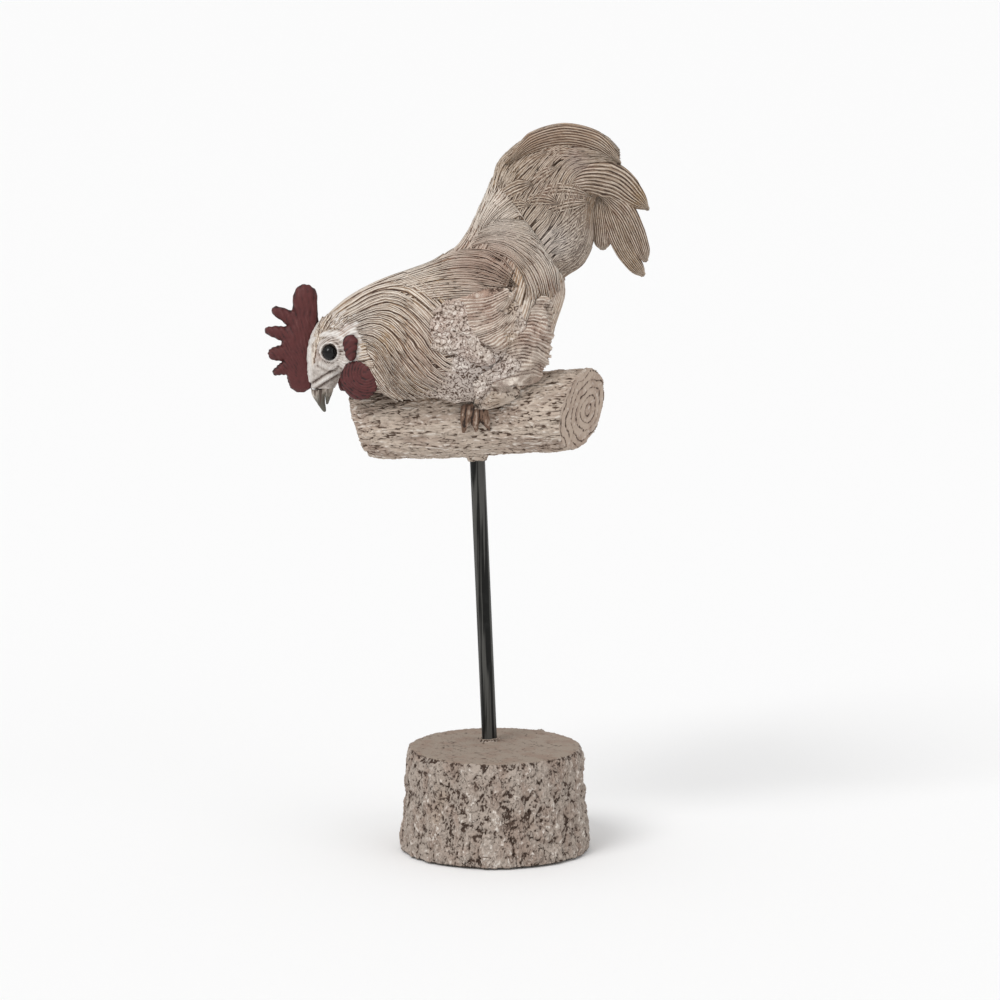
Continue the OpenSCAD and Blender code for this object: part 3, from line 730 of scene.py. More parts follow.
def clouds(points: Array, size: tuple | float, seed: int, octaves: int = 3) -> Array:
    """Smooth noise from about -1 to 1.

    Args:
        points: rows of points.
        size: the size of its largest lumps, in metres, alike or along each axis.
        seed: picks the noise.
        octaves: layers, each half the size of the last.

    Returns:
        One value for each point.
    """
    total, weight, gain = np.zeros(len(points)), 0.0, 1.0
    for octave in range(octaves):
        place = points / size * 2 ** octave + 17.3 * octave
        cell = np.floor(place).astype(np.int64)
        part = place - cell
        part = part * part * (3 - 2 * part)
        value = np.zeros(len(points))
        for corner in range(8):
            offset = np.array([corner & 1, corner >> 1 & 1, corner >> 2 & 1])
            share = np.prod(np.where(offset, part, 1 - part), axis=-1)
            value += share * scatter(cell + offset, seed + octave)
        total += gain * (2 * value - 1)
        weight += gain
        gain *= 0.5
    return total / weight * 1.6


def plates(points: Array, size: tuple, seed: int) -> tuple[Array, Array]:
    """Cracked plates: how far each point lies from the cracks, and a random number for each plate."""
    place = points / size
    cell = np.floor(place).astype(np.int64)
    first = np.full(len(points), 9.0)
    second = np.full(len(points), 9.0)
    owner = np.zeros(len(points))
    for x in (-1, 0, 1):
        for y in (-1, 0, 1):
            for z in (-1, 0, 1):
                near = cell + np.array([x, y, z])
                spot = near + np.stack([scatter(near, seed + k) for k in range(3)], -1)
                gap = np.linalg.norm(place - spot, axis=-1)
                closer = gap < first
                second = np.where(closer, first, np.minimum(second, gap))
                owner = np.where(closer, scatter(near, seed + 9), owner)
                first = np.minimum(first, gap)
    return second - first, owner


def nearest(pixels: Array, line: Array) -> tuple[Array, Array]:
    """Distances of pixel places from a line through points, and the share along it."""
    best = np.full(len(pixels), 1e9)
    share = np.zeros(len(pixels))
    for k in range(len(line) - 1):
        step = line[k + 1] - line[k]
        s = np.clip(((pixels - line[k]) @ step) / (step @ step), 0, 1)
        gap = np.linalg.norm(pixels - line[k] - s[:, None] * step, axis=-1)
        share = np.where(gap < best, (k + s) / (len(line) - 1), share)
        best = np.minimum(best, gap)
    return best, share


def seen(points: Array) -> Array:
    """Pixels of points, with those on the hen's right side mirrored to its left."""
    mirrored = points.copy()
    mirrored[..., 1] = MIDDLE - np.abs(points[..., 1] - MIDDLE)
    return VIEW.project(mirrored)


@dataclass(frozen=True)
class Stroke:
    """A ridge or a groove along a line of pixels on both sides of the head."""

    line_px: tuple[tuple[float, float], ...]
    width_px: float
    height: float

    def on(self, pixels: Array) -> Array:
        """Heights at the pixels, in metres."""
        gap, _ = nearest(pixels, comb_rows(self.line_px, 24))
        return self.height * np.exp(-0.5 * (gap / self.width_px) ** 2)


@dataclass(frozen=True)
class Plume:
    """One feather: its middle line in pixels from root to tip, its half widths, and how it lies.

    A feather with offsets hangs free, that far to the side of the hen's middle.
    """

    line_px: tuple[tuple[float, float], ...]
    half_px: tuple[float, ...]
    rise: float = 0.0
    offsets: tuple[float, ...] = ()


@dataclass
class Plumage:
    """Feathers placed one by one, each over those before it in the list."""

    loft: Loft
    vane: Vane
    plumes: list[Plume]
    seed: int
    stack: float = 0.55

    def grow(self, rasp: Rasp, side: Flank) -> list[Batch]:
        """Lays the feathers of one side that lie on the loft.

        Args:
            rasp: the grid of heights.
            side: the side of the hen.

        Returns:
            One batch for each feather.
        """
        draw = side.draws(self.seed)
        strands = Strands(Flow(self.loft, [], net=np.zeros((2, 2, 2))), self.vane, [], 1, self.seed)
        batches = []
        for plume in self.plumes:
            if plume.offsets:
                batches.append(self.hang(plume, side, draw))
                continue
            s = np.linspace(0, 1, self.vane.rows)
            places = self.loft.find(comb_rows(plume.line_px, 9))
            spot = through(places, s * 8)[None]
            half = profile(s, plume.half_px)[None] * PIXEL
            if side is Flank.RIGHT:
                half = half * draw.uniform(0.92, 1.08)
            batches.append(strands.lay(self.loft, spot, half * self.vane.width(s), s, plume.rise, draw,
                                       side, rasp, self.stack))
        return batches

    def hang(self, plume: Plume, side: Flank, draw: np.random.Generator) -> Batch:
        """Makes one free feather, rounded on both faces."""
        vane = self.vane
        s = np.linspace(0, 1, vane.rows)
        offset = profile(s, plume.offsets)
        centre = VIEW.on_plane(comb_rows(plume.line_px, vane.rows), MIDDLE - offset)
        centre[:, 1] = MIDDLE + side.value * offset
        tangent = unit(np.gradient(centre, axis=0))
        face = np.array([0.0, side.value, 0.0])
        across = unit(np.cross(face, tangent))
        half = profile(s, plume.half_px) * PIXEL * vane.width(s)
        v = vane.across()
        loop = np.concatenate([v, v[-2:0:-1]])
        sign = np.concatenate([np.ones(len(v)), -np.ones(len(v) - 2)])
        spread = s[:, None], loop[None], lengths(centre)[:, None], half[:, None]
        height = vane.height(*spread)
        cup = 0.0012 * (1 - loop ** 2)[None] * (half / half.max())[:, None]
        out = sign * (height + plume.rise * np.sqrt(np.clip(1 - loop ** 2, 0, 1))) + cup
        points = centre[:, None] + across[:, None] * (half[:, None] * loop)[..., None] + face * out[..., None]
        quill = vane.quill(*spread[:2], draw.uniform(0, 1))
        relief = np.clip(0.5 + vane.shade(*spread) + 0.3 * smoothstep(0.9, 0.99, s)[:, None], 0, 1)
        faces = tube_faces(vane.rows, len(loop))
        middle = vane.rows // 2, len(v) // 2
        corner = points[middle], points[middle[0], middle[1] + 1], points[middle[0] + 1, middle[1] + 1]
        turn = np.cross(corner[1] - corner[0], corner[2] - corner[0])
        return Batch(points[None], faces, np.array([turn @ face < 0]), quill[None], None, None, relief[None])


class Signal:
    """A shader value that Python's operators extend with Math nodes."""

    def __init__(self, bench: "Bench", socket: bpy.types.NodeSocket) -> None:
        """Wraps an output socket of a bench."""
        self.bench = bench
        self.socket = socket

    def math(self, operation: str, *others: "Signal | float") -> "Signal":
        """The value after one Math node."""
        return self.bench.node("ShaderNodeMath", {"operation": operation}, self, *others)

    def __add__(self, other: "Signal | float") -> "Signal":
        """self + other."""
        return self.math("ADD", other)

    def __radd__(self, other: float) -> "Signal":
        """other + self."""
        return self.math("ADD", other)

    def __sub__(self, other: "Signal | float") -> "Signal":
        """self - other."""
        return self.math("SUBTRACT", other)

    def __rsub__(self, other: float) -> "Signal":
        """other - self."""
        return self.bench.node("ShaderNodeMath", {"operation": "SUBTRACT"}, other, self)

    def __mul__(self, other: "Signal | float") -> "Signal":
        """self * other."""
        return self.math("MULTIPLY", other)

    def __rmul__(self, other: float) -> "Signal":
        """other * self."""
        return self.math("MULTIPLY", other)

    def clamp(self) -> "Signal":
        """The value held between 0 and 1."""
        return self.bench.node("ShaderNodeClamp", {}, self)

    def step(self, low: float, high: float) -> "Signal":
        """A smooth rise from 0 at low to 1 at high."""
        return self.bench.node("ShaderNodeMapRange", {"interpolation_type": "SMOOTHSTEP"}, self, low, high)


class Bench:
    """The node tree of one material, with its Principled shader."""

    def __init__(self, name: str) -> None:
        """Starts a material."""
        self.material = bpy.data.materials.new(name)
        self.material.use_nodes = True
        self.tree = self.material.node_tree
        self.shader = self.tree.nodes["Principled BSDF"]

    def node(self, kind: str, settings: dict, *values: object, output: int | str = 0,
             **named: object) -> Signal:
        """Adds a node.

        Args:
            kind: the node's type.
            settings: its properties, which are set first.
            values: values or links of its first sockets.
            output: the output to wrap.
            named: values or links of sockets by name, with _ for a space.

        Returns:
            The wrapped output.
        """
        node = self.tree.nodes.new(kind)
        for key, value in settings.items():
            setattr(node, key, value)
        for index, value in enumerate(values):
            self.plug(node.inputs[index], value)
        for key, value in named.items():
            self.plug(node.inputs[key.replace("_", " ")], value)
        return Signal(self, node.outputs[output])

    def plug(self, socket: bpy.types.NodeSocket, value: object) -> None:
        """Links or sets one input socket."""
        if isinstance(value, Signal):
            self.tree.links.new(value.socket, socket)
        else:
            socket.default_value = value

    def attribute(self, name: str, output: str) -> Signal:
        """One output of a mesh attribute."""
        return self.node("ShaderNodeAttribute", {"attribute_name": name}, output=output)

    def split(self, vector: Signal) -> tuple[Signal, Signal, Signal]:
        """The three parts of a vector."""
        node = self.tree.nodes.new("ShaderNodeSeparateXYZ")
        self.tree.links.new(vector.socket, node.inputs[0])
        return tuple(Signal(self, out) for out in node.outputs)

    def join(self, x: Signal | float, y: Signal | float, z: Signal | float) -> Signal:
        """A vector of three parts."""
        return self.node("ShaderNodeCombineXYZ", {}, x, y, z)

    def vector(self, operation: str, *values: object) -> Signal:
        """A vector after one Vector Math node."""
        return self.node("ShaderNodeVectorMath", {"operation": operation}, *values)

    def place(self) -> Signal:
        """Object coordinates, in metres."""
        return self.node("ShaderNodeTexCoord", {}, output="Object")

    def noise(self, vector: Signal, scale: float, detail: float = 3.0, rough: float = 0.55) -> Signal:
        """Noise between 0 and 1."""
        return self.node("ShaderNodeTexNoise", {}, Vector=vector, Scale=scale, Detail=detail, Roughness=rough)

    def mix(self, factor: Signal | float, a: object, b: object) -> Signal:
        """A colour between a and b."""
        node = self.tree.nodes.new("ShaderNodeMix")
        node.data_type = "RGBA"
        for index, value in ((0, factor), (6, a), (7, b)):
            self.plug(node.inputs[index], value)
        return Signal(self, node.outputs[2])

    def bump(self, height: Signal, distance: float, strength: float) -> Signal:
        """A bumped normal."""
        return self.node("ShaderNodeBump", {}, Strength=strength, Distance=distance, Height=height)

    def finish(self, **inputs: object) -> bpy.types.Material:
        """Feeds the shader's inputs, named with _ for a space, and returns the material."""
        for key, value in inputs.items():
            self.plug(self.shader.inputs[key.replace("_", " ")], value)
        return self.material


def srgb(red: int, green: int, blue: int) -> tuple[float, float, float, float]:
    """A linear colour from 8-bit screen values."""
    linear = [c / 12.92 if c <= 0.04045 else ((c + 0.055) / 1.055) ** 2.4
              for c in (red / 255, green / 255, blue / 255)]
    return (*linear, 1.0)


@dataclass(frozen=True)
class Tint:
    """A soft patch of colour, placed by a pixel of the photograph."""

    place_px: tuple[float, float]
    radius_px: float
    ochre: float = 0.0
    rose: float = 0.0
    grey: float = 0.0


TINTS = [
    Tint((470, 262), 24, rose=0.9), Tint((500, 268), 16, rose=0.8, ochre=0.2), Tint((516, 276), 8, ochre=0.9),
    Tint((440, 287), 12, ochre=0.6), Tint((400, 318), 16, ochre=0.4), Tint((420, 345), 18, rose=0.5),
    Tint((385, 345), 12, ochre=0.5), Tint((432, 372), 14, rose=0.5), Tint((360, 318), 10, grey=0.5),
    Tint((505, 336), 9, ochre=1.0), Tint((509, 304), 6, ochre=0.9), Tint((489, 315), 9, rose=0.9),
    Tint((473, 318), 4, rose=0.8), Tint((455, 345), 16, grey=0.5), Tint((500, 375), 14, grey=1.0),
    Tint((462, 378), 16, grey=0.4), Tint((552, 240), 8, grey=1.3), Tint((572, 240), 18, grey=0.6),
    Tint((576, 135), 20, rose=0.5, ochre=0.5), Tint((530, 140), 18, rose=0.5, ochre=0.2),
    Tint((509, 160), 10, ochre=0.8), Tint((640, 196), 9, ochre=1.2), Tint((505, 208), 14, ochre=0.3),
    Tint((545, 190), 10, rose=0.5), Tint((603, 225), 12, ochre=0.6, rose=0.3),
    Tint((628, 262), 14, ochre=0.6), Tint((525, 340), 14, rose=0.3), Tint((548, 285), 9, rose=0.5),
    Tint((556, 255), 10, grey=0.3), Tint((500, 225), 14, grey=0.6), Tint((575, 163), 8, rose=0.7, grey=0.4),
]


def tinted(points: Array) -> Array:
    """Ochre, rose and grey shares at points."""
    pixels = seen(points)
    total = np.zeros((len(points), 3))
    for tint in TINTS:
        gap = ((pixels - np.array(tint.place_px)) ** 2).sum(-1)
        fade = np.exp(-0.5 * gap / tint.radius_px ** 2)
        total += fade[:, None] * np.array([tint.ochre, tint.rose, tint.grey])
    return np.clip(total, 0, 1)


@dataclass(frozen=True)
class WornWash:
    """Cast resin under a dry-brushed whitewash: dark in the grooves and pale on the ridges."""

    name: str
    groove: tuple
    body: tuple
    ochre: tuple
    rose: tuple
    grey: tuple
    ridge: tuple
    wash: float = 1.0
    patch: float = 30.0
    hairs: float = 0.0
    roughness: float = 0.72
    low: tuple[float, float] = (0.16, 0.46)
    high: tuple[float, float] = (0.60, 0.92)
    grain: tuple[float, float, float] = (1.0, 1.0, 1.0)
    speckles: float = 0.3
    speckle_scale: float = 1100.0
    curls: float = 0.0
    curl_scale: float = 210.0
    curl_turns: float = 34.0
    depth: float = 0.0003
    # strength and size of the painted highlight and shade on lumps, lit from the front left above
    shaded_chips: float = 0.0
    shaded_chip_scale: float = 380.0

    def material(self) -> bpy.types.Material:
        """Builds the material."""
        bench = Bench(self.name)
        place = bench.vector("MULTIPLY", bench.place(), self.grain)
        relief = bench.attribute("relief", "Fac")
        ochre, rose, grey = bench.split(bench.attribute("zone", "Vector"))
        along, across, tint = bench.split(bench.attribute("quill", "Vector"))
        patches = bench.noise(place, self.patch, 2.0)
        zones = bench.noise(place, self.patch * 2.6, 3.0)
        speckle = bench.noise(place, self.speckle_scale, 3.0, 0.6)
        warm = (ochre * 0.75 + (patches + 0.22 * tint - 0.11).step(0.5, 0.72) * 0.45).clamp()
        pink = (rose * 0.75 + (zones - 0.2 * tint + 0.1).step(0.52, 0.75) * 0.5).clamp()
        base = bench.mix(pink, bench.mix(warm, self.body, self.ochre), self.rose)
        base = bench.mix((grey * 0.8).clamp(), base, self.grey)
        waver = bench.noise(bench.join(along * 3.0, across * 2.0, tint * 40.0), 3.0, 2.0)
        hair = (across * 8.0 + waver * 6.0).math("SINE") * 0.5 + 0.5
        height = relief + (speckle - 0.5) * self.speckles + (hair - 0.5) * self.hairs
        if self.curls:
            curl = (bench.noise(place, self.curl_scale, 2.0, 0.6) * self.curl_turns).math("SINE") * 0.5 - 0.5
            curl = 0.6 - curl * curl * 2.0
            height = height + curl * self.curls
        # Painted highlight and shade: each lump is paler on its side towards the front, left and top, the key
        # light's side, and darker on the other.
        if self.shaded_chips:
            above = bench.vector("ADD", place, (-0.0003, -0.0002, 0.0007))
            rise = bench.noise(place, self.shaded_chip_scale) - bench.noise(above, self.shaded_chip_scale)
            height = height + rise * self.shaded_chips
        base = bench.mix(1.0 - height.step(*self.low), base, self.groove)
        wash = (height + (zones - 0.5) * 0.25).step(*self.high) * (1.0 - (rose * 0.5).clamp()) * self.wash
        base = bench.mix(wash, base, self.ridge)
        rough = speckle * (0.5 + self.speckles) + hair * self.hairs * 2.0
        if self.curls:
            rough = rough + curl * 0.8
        return bench.finish(Base_Color=base, Roughness=self.roughness, Specular_IOR_Level=0.35,
                            Normal=bench.bump(rough, self.depth, 0.7))


FEATHER_WASH = WornWash(
    "feather_wash", groove=srgb(72, 52, 40), body=srgb(176, 153, 134), ochre=srgb(180, 148, 104),
    rose=srgb(166, 130, 112), grey=srgb(166, 154, 150), ridge=srgb(236, 225, 212), wash=0.92, hairs=0.85,
    low=(0.05, 0.36), high=(0.58, 0.88))
COMBED_WASH = replace(FEATHER_WASH, name="combed_wash", hairs=0.9, speckles=0.5, low=(0.04, 0.38),
                      high=(0.6, 0.98), body=srgb(196, 177, 162))
BREAST_WASH = WornWash(
    "breast_wash", groove=srgb(84, 66, 54), body=srgb(188, 173, 161), ochre=srgb(186, 164, 136),
    rose=srgb(168, 142, 130), grey=srgb(168, 160, 158), ridge=srgb(228, 219, 210), wash=0.85, curls=0.32,
    low=(0.08, 0.36), high=(0.62, 0.98), curl_scale=260.0, speckles=0.4, shaded_chips=1.5)
TAIL_WASH = WornWash(
    "tail_wash", groove=srgb(62, 46, 36), body=srgb(152, 131, 112), ochre=srgb(160, 128, 90),
    rose=srgb(142, 110, 94), grey=srgb(198, 188, 181), ridge=srgb(226, 213, 198), wash=0.7, hairs=0.9,
    low=(0.06, 0.38), high=(0.60, 0.98))
FACE_WASH = WornWash(
    "face_wash", groove=srgb(96, 80, 70), body=srgb(206, 196, 188), ochre=srgb(180, 150, 118),
    rose=srgb(176, 146, 132), grey=srgb(160, 154, 150), ridge=srgb(234, 229, 223), wash=0.95, hairs=0.4,
    low=(0.04, 0.34), high=(0.50, 0.78))
BARK_WASH = WornWash(
    "bark_wash", groove=srgb(80, 62, 50), body=srgb(196, 180, 165), ochre=srgb(156, 128, 104),
    rose=srgb(138, 112, 98), grey=srgb(152, 146, 138), ridge=srgb(222, 213, 203), wash=0.8, patch=45.0,
    roughness=0.85, low=(0.04, 0.36), high=(0.60, 0.96), grain=(0.25, 1.0, 1.0), speckles=0.5,
    speckle_scale=950.0, curls=0.2, curl_scale=260.0, curl_turns=32.0, depth=0.0006, shaded_chips=1.7)
STUMP_WASH = WornWash(
    "stump_wash", groove=srgb(74, 58, 48), body=srgb(170, 157, 146), ochre=srgb(156, 130, 106),
    rose=srgb(138, 114, 100), grey=srgb(152, 146, 140), ridge=srgb(222, 214, 205), wash=0.8, patch=45.0,
    roughness=0.85, low=(0.10, 0.38), high=(0.62, 0.98), grain=(1.0, 1.0, 0.7), speckles=0.4,
    speckle_scale=760.0, curls=0.14, curl_scale=230.0, curl_turns=26.0, depth=0.0007, shaded_chips=1.7,
    shaded_chip_scale=300.0)
TOP_WASH = replace(STUMP_WASH, name="top_wash", curls=0.0, shaded_chips=0.5, speckles=0.6,
                   body=srgb(152, 138, 125), wash=0.4)
END_WASH = replace(TOP_WASH, name="end_wash", body=srgb(182, 164, 149), wash=0.6)
COMB_WASH = WornWash(
    "comb_wash", groove=srgb(46, 20, 20), body=srgb(86, 38, 37), ochre=srgb(92, 44, 40),
    rose=srgb(76, 32, 32), grey=srgb(88, 52, 50), ridge=srgb(122, 78, 74), wash=0.55, patch=60.0,
    roughness=0.55)
FOOT_WASH = WornWash(
    "foot_wash", groove=srgb(44, 30, 22), body=srgb(110, 86, 70), ochre=srgb(130, 106, 84),
    rose=srgb(112, 84, 70), grey=srgb(134, 120, 108), ridge=srgb(188, 170, 154), wash=0.6, patch=80.0)


@dataclass(frozen=True)
class BeakHorn:
    """Beak horn: washed near the face and dark grey-green towards the tip."""

    name: str = "beak_horn"
    tip: tuple = srgb(84, 80, 70)
    root: tuple = srgb(168, 156, 144)
    groove: tuple = srgb(78, 62, 52)
    ridge: tuple = srgb(218, 209, 199)

    def material(self) -> bpy.types.Material:
        """Builds the material; quill's first value runs from the face to the tip."""
        bench = Bench(self.name)
        relief = bench.attribute("relief", "Fac")
        along, _, _ = bench.split(bench.attribute("quill", "Vector"))
        speckle = bench.noise(bench.place(), 700.0, 3.0)
        base = bench.mix((along + (speckle - 0.5) * 0.3).step(0.5, 0.8), self.root, self.tip)
        height = relief + (speckle - 0.5) * 0.4
        base = bench.mix(1.0 - height.step(0.1, 0.42), base, self.groove)
        base = bench.mix(height.step(0.55, 0.8) * (1.0 - along.step(0.55, 0.8)) * 0.8, base, self.ridge)
        return bench.finish(Base_Color=base, Roughness=0.5, Normal=bench.bump(speckle, 0.0002, 0.5))


@dataclass(frozen=True)
class Gloss:
    """A plain glossy paint, with painted highlight streaks where a streak colour is given."""

    name: str
    colour: tuple
    roughness: float
    coat: float = 0.0
    grain: float = 0.0
    # a pale colour for painted highlight streaks down the paint, or none
    streak: tuple | None = None
    shine: float = 0.5

    def material(self) -> bpy.types.Material:
        """Builds the material."""
        bench = Bench(self.name)
        wear_and_painted_light = bench.noise(bench.place(), 240.0, 3.0)
        lighter = tuple(min(1.0, c * 1.8 + 0.01) for c in self.colour[:3]) + (1.0,)
        base = bench.mix(wear_and_painted_light.step(0.45, 0.8) * 0.5, self.colour, lighter)
        # Painted highlight: pale upright streaks, standing in for the reflections along a glossy rod.
        if self.streak:
            drawn = bench.vector("MULTIPLY", bench.place(), (1.0, 1.0, 0.03))
            base = bench.mix(bench.noise(drawn, 420.0, 2.0).step(0.45, 0.54) * 0.75, base, self.streak)
        return bench.finish(Base_Color=base, Roughness=wear_and_painted_light * 0.12 + self.roughness, Coat_Weight=self.coat,
                            Coat_Roughness=0.06, Specular_IOR_Level=self.shine,
                            Normal=bench.bump(wear_and_painted_light, self.grain, 0.4))


EYE_GLOSS = Gloss("eye_gloss", srgb(10, 9, 9), 0.12, coat=0.15, shine=0.2)
# The rod's streak colour is a painted highlight.
ROD_BLACK = Gloss("rod_black", srgb(14, 14, 12), 0.3, grain=0.00003, streak=srgb(84, 83, 80), shine=0.18)
FELT = Gloss("felt_green", srgb(58, 62, 54), 0.9, grain=0.0002)


# Guide lines over the photograph's left flank, in its pixels, from the root of the strands to their ends.
CAPE_GUIDES_PX = [
    [(322, 316), (346, 296), (374, 279), (404, 275), (428, 284), (448, 304), (462, 322)],
    [(330, 320), (350, 308), (370, 296), (392, 291), (414, 299), (434, 318), (450, 338), (464, 346)],
    [(338, 324), (354, 316), (372, 307), (390, 303), (408, 311), (426, 330), (442, 352), (458, 362)],
    [(344, 328), (358, 321), (374, 315), (390, 317), (406, 330), (422, 349), (438, 368), (456, 376)],
    [(350, 332), (362, 328), (376, 325), (390, 333), (403, 348), (416, 364), (430, 378), (448, 386)],
    [(356, 336), (368, 334), (380, 339), (392, 352), (404, 367), (418, 381), (438, 391)],
    [(360, 341), (370, 342), (381, 350), (391, 364), (402, 377), (415, 389), (432, 396)],
    [(364, 348), (374, 353), (383, 365), (393, 379), (406, 391), (422, 398)],
    [(374, 362), (382, 374), (391, 385), (401, 393), (412, 399)],
    [(364, 364), (371, 376), (379, 387), (388, 395), (400, 401)],
]
BACK_GUIDES_PX = [
    [(372, 284), (405, 271), (438, 258), (466, 250), (490, 250), (508, 262), (520, 284)],
    [(380, 286), (418, 273), (452, 263), (482, 263), (504, 274), (518, 287)],
    [(392, 288), (430, 277), (466, 273), (494, 278), (515, 288)],
    [(408, 292), (444, 287), (474, 287), (498, 290), (515, 290)],
    [(424, 302), (450, 299), (478, 298), (500, 296), (514, 292)],
]
SADDLE_GUIDES_PX = [
    [(488, 250), (508, 258), (520, 272), (526, 290), (524, 300)],
    [(480, 241), (506, 245), (526, 261), (538, 282), (541, 302)],
    [(472, 240), (500, 234), (526, 243), (546, 265), (553, 296)],
    [(478, 232), (504, 226), (532, 234), (552, 256), (559, 290)],
    [(484, 222), (510, 219), (538, 228), (556, 248), (563, 282)],
]
COLLAR_GUIDES_PX = [
    [(466, 250), (492, 242), (516, 242), (536, 253), (550, 268)],
    [(468, 243), (492, 233), (518, 231), (540, 242), (556, 262)],
    [(472, 236), (496, 224), (522, 221), (544, 232), (561, 254)],
]
NAPE_GUIDES_PX = [
    [(476, 232), (482, 216), (489, 202), (500, 186)],
    [(482, 232), (493, 216), (507, 203), (528, 190)],
    [(490, 231), (506, 215), (524, 207), (546, 202)],
    [(500, 226), (520, 216), (542, 213), (564, 210)],
]
CROWN_GUIDES_PX = [
    [(314, 372), (313, 350), (317, 332), (325, 317)],
    [(318, 346), (322, 336), (330, 325), (342, 314)],
    [(322, 342), (330, 335), (342, 328), (352, 320)],
]

WING_COMBING = Combing([
    [(446, 298), (470, 298), (486, 297), (504, 290)],
    [(450, 308), (470, 307), (488, 305), (506, 296)],
    [(452, 318), (472, 317), (492, 313), (508, 300)],
    [(456, 328), (476, 327), (494, 321), (508, 309), (514, 292)],
    [(464, 336), (484, 333), (500, 325), (512, 311), (519, 290)],
    [(474, 343), (490, 338), (504, 329), (516, 314), (524, 292)],
    [(482, 351), (496, 345), (510, 335), (521, 319), (529, 298)],
    [(490, 359), (504, 352), (516, 343), (528, 326), (536, 304)],
], 22)
THIGH_COMBING = Combing([
    [(520, 300), (534, 296), (548, 296), (562, 300)],
    [(520, 308), (534, 303), (546, 303), (562, 307)],
    [(518, 317), (530, 311), (544, 310), (562, 316)],
    [(514, 326), (526, 320), (540, 319), (560, 328)],
    [(508, 336), (522, 328), (537, 329), (558, 339)],
    [(502, 345), (518, 337), (533, 337), (556, 349)],
    [(498, 354), (516, 346), (533, 347), (552, 358)],
    [(496, 363), (514, 356), (531, 356), (550, 366)],
    [(492, 373), (512, 367), (530, 365), (550, 373)],
    [(488, 386), (510, 379), (530, 375), (548, 380)],
], 25)
TAIL_COVERTS = [
    Plume(((512, 172), (534, 158), (560, 152), (592, 157)), (6, 8, 8, 3)),
    Plume(((500, 168), (516, 148), (540, 132), (562, 126)), (6, 10, 10, 4)),
    Plume(((532, 196), (552, 190), (572, 190), (590, 196)), (8, 10, 9, 4)),
    Plume(((540, 214), (556, 208), (572, 204), (588, 202)), (6, 9, 9, 4)),
    Plume(((586, 259), (574, 266), (564, 270), (556, 270)), (5, 7, 7, 4)),
    Plume(((590, 246), (576, 255), (564, 261), (552, 262)), (6, 8, 8, 4)),
    Plume(((592, 230), (578, 241), (564, 249), (551, 252)), (6, 8, 8, 4)),
    Plume(((593, 214), (578, 227), (564, 238), (551, 242)), (6, 8, 8, 4)),
    Plume(((592, 200), (577, 213), (564, 225), (552, 232)), (6, 8, 8, 4)),
    Plume(((508, 186), (520, 172), (534, 160), (548, 152)), (6, 8, 8, 4)),
    Plume(((494, 178), (501, 166), (510, 156), (522, 148)), (5, 7, 7, 4)),
    Plume(((522, 192), (536, 180), (548, 172), (558, 168)), (7, 9, 8, 4)),
    Plume(((520, 204), (534, 200), (546, 200), (558, 204)), (6, 8, 8, 4)),
    Plume(((498, 200), (508, 192), (520, 186), (533, 184)), (7, 8, 8, 3), rise=0.0004),
    Plume(((484, 206), (489, 196), (496, 188), (505, 182)), (5, 7, 7, 4)),
    Plume(((480, 222), (486, 210), (494, 202), (504, 196)), (5, 7, 7, 4)),
    Plume(((496, 216), (508, 208), (520, 204), (530, 206)), (6, 8, 8, 4)),
]
SICKLE_PLUMES = [
    Plume(((598, 196), (600, 214), (602, 232), (603, 250)), (6, 9, 9, 8), 0.0010,
          (0.004, 0.004, 0.003, 0.003)),
    Plume(((602, 192), (611, 218), (624, 250), (644, 276)), (8, 10, 9, 7), 0.0012,
          (0.003, 0.004, 0.004, 0.003)),
    Plume(((598, 190), (622, 208), (635, 232), (646, 262)), (8, 11, 10, 7), 0.0012,
          (0.006, 0.006, 0.005, 0.004)),
    Plume(((556, 188), (586, 178), (614, 182), (634, 197), (649, 210)), (8, 14, 18, 14, 5), 0.0014,
          (0.013, 0.012, 0.010, 0.007, 0.004)),
    Plume(((506, 164), (534, 144), (566, 137), (597, 144), (621, 164)), (5, 10, 12, 11, 4), 0.0014,
          (0.008, 0.010, 0.010, 0.008, 0.004)),
]
FACE_STROKES = [
    Stroke(((314, 342), (322, 335), (333, 334), (343, 339), (348, 347)), 1.6, 0.0004),
    Stroke(((318, 341), (324, 338), (333, 338), (341, 342)), 0.8, -0.0004),
    Stroke(((316, 336), (324, 330), (336, 329), (346, 333)), 0.8, -0.0003),
    Stroke(((321, 364), (330, 368), (341, 365), (347, 358)), 1.2, 0.0003),
    Stroke(((318, 366), (329, 371), (342, 368)), 0.8, -0.0004),
    Stroke(((339, 366), (326, 374), (311, 384)), 0.9, -0.0009),
    Stroke(((340, 369), (328, 377), (313, 387)), 0.9, 0.0006),
    Stroke(((341, 372), (329, 380), (316, 389)), 0.9, -0.0007),
    Stroke(((318, 322), (312, 340), (310, 360), (311, 384)), 1.6, 0.0008),
    Stroke(((322, 330), (317, 345), (315, 362)), 1.0, -0.0004),
    Stroke(((346, 366), (352, 372), (356, 384)), 1.4, 0.0005),
    Stroke(((346, 338), (349, 334), (355, 332), (360, 337)), 1.0, 0.0003),
]
KNOT_STROKES = [
    Stroke(((484, 400), (488, 390), (499, 384), (511, 385), (521, 392)), 1.5, 0.0012),
    Stroke(((489, 402), (493, 393), (502, 389), (511, 390), (517, 396)), 1.3, -0.0010),
    Stroke(((500, 399), (512, 399)), 4.5, 0.0010),
]
EYE_PX = (330.0, 351.5)
FLUFF_EDGE_PX = ((298, 322, 346, 362, 376, 386, 396, 404), (446, 460, 462, 456, 446, 436, 420, 400))
CURL_EDGE_PX = ((296, 304, 322, 336, 346, 354, 362, 372, 382), (452, 466, 468, 476, 490, 508, 522, 520, 492))
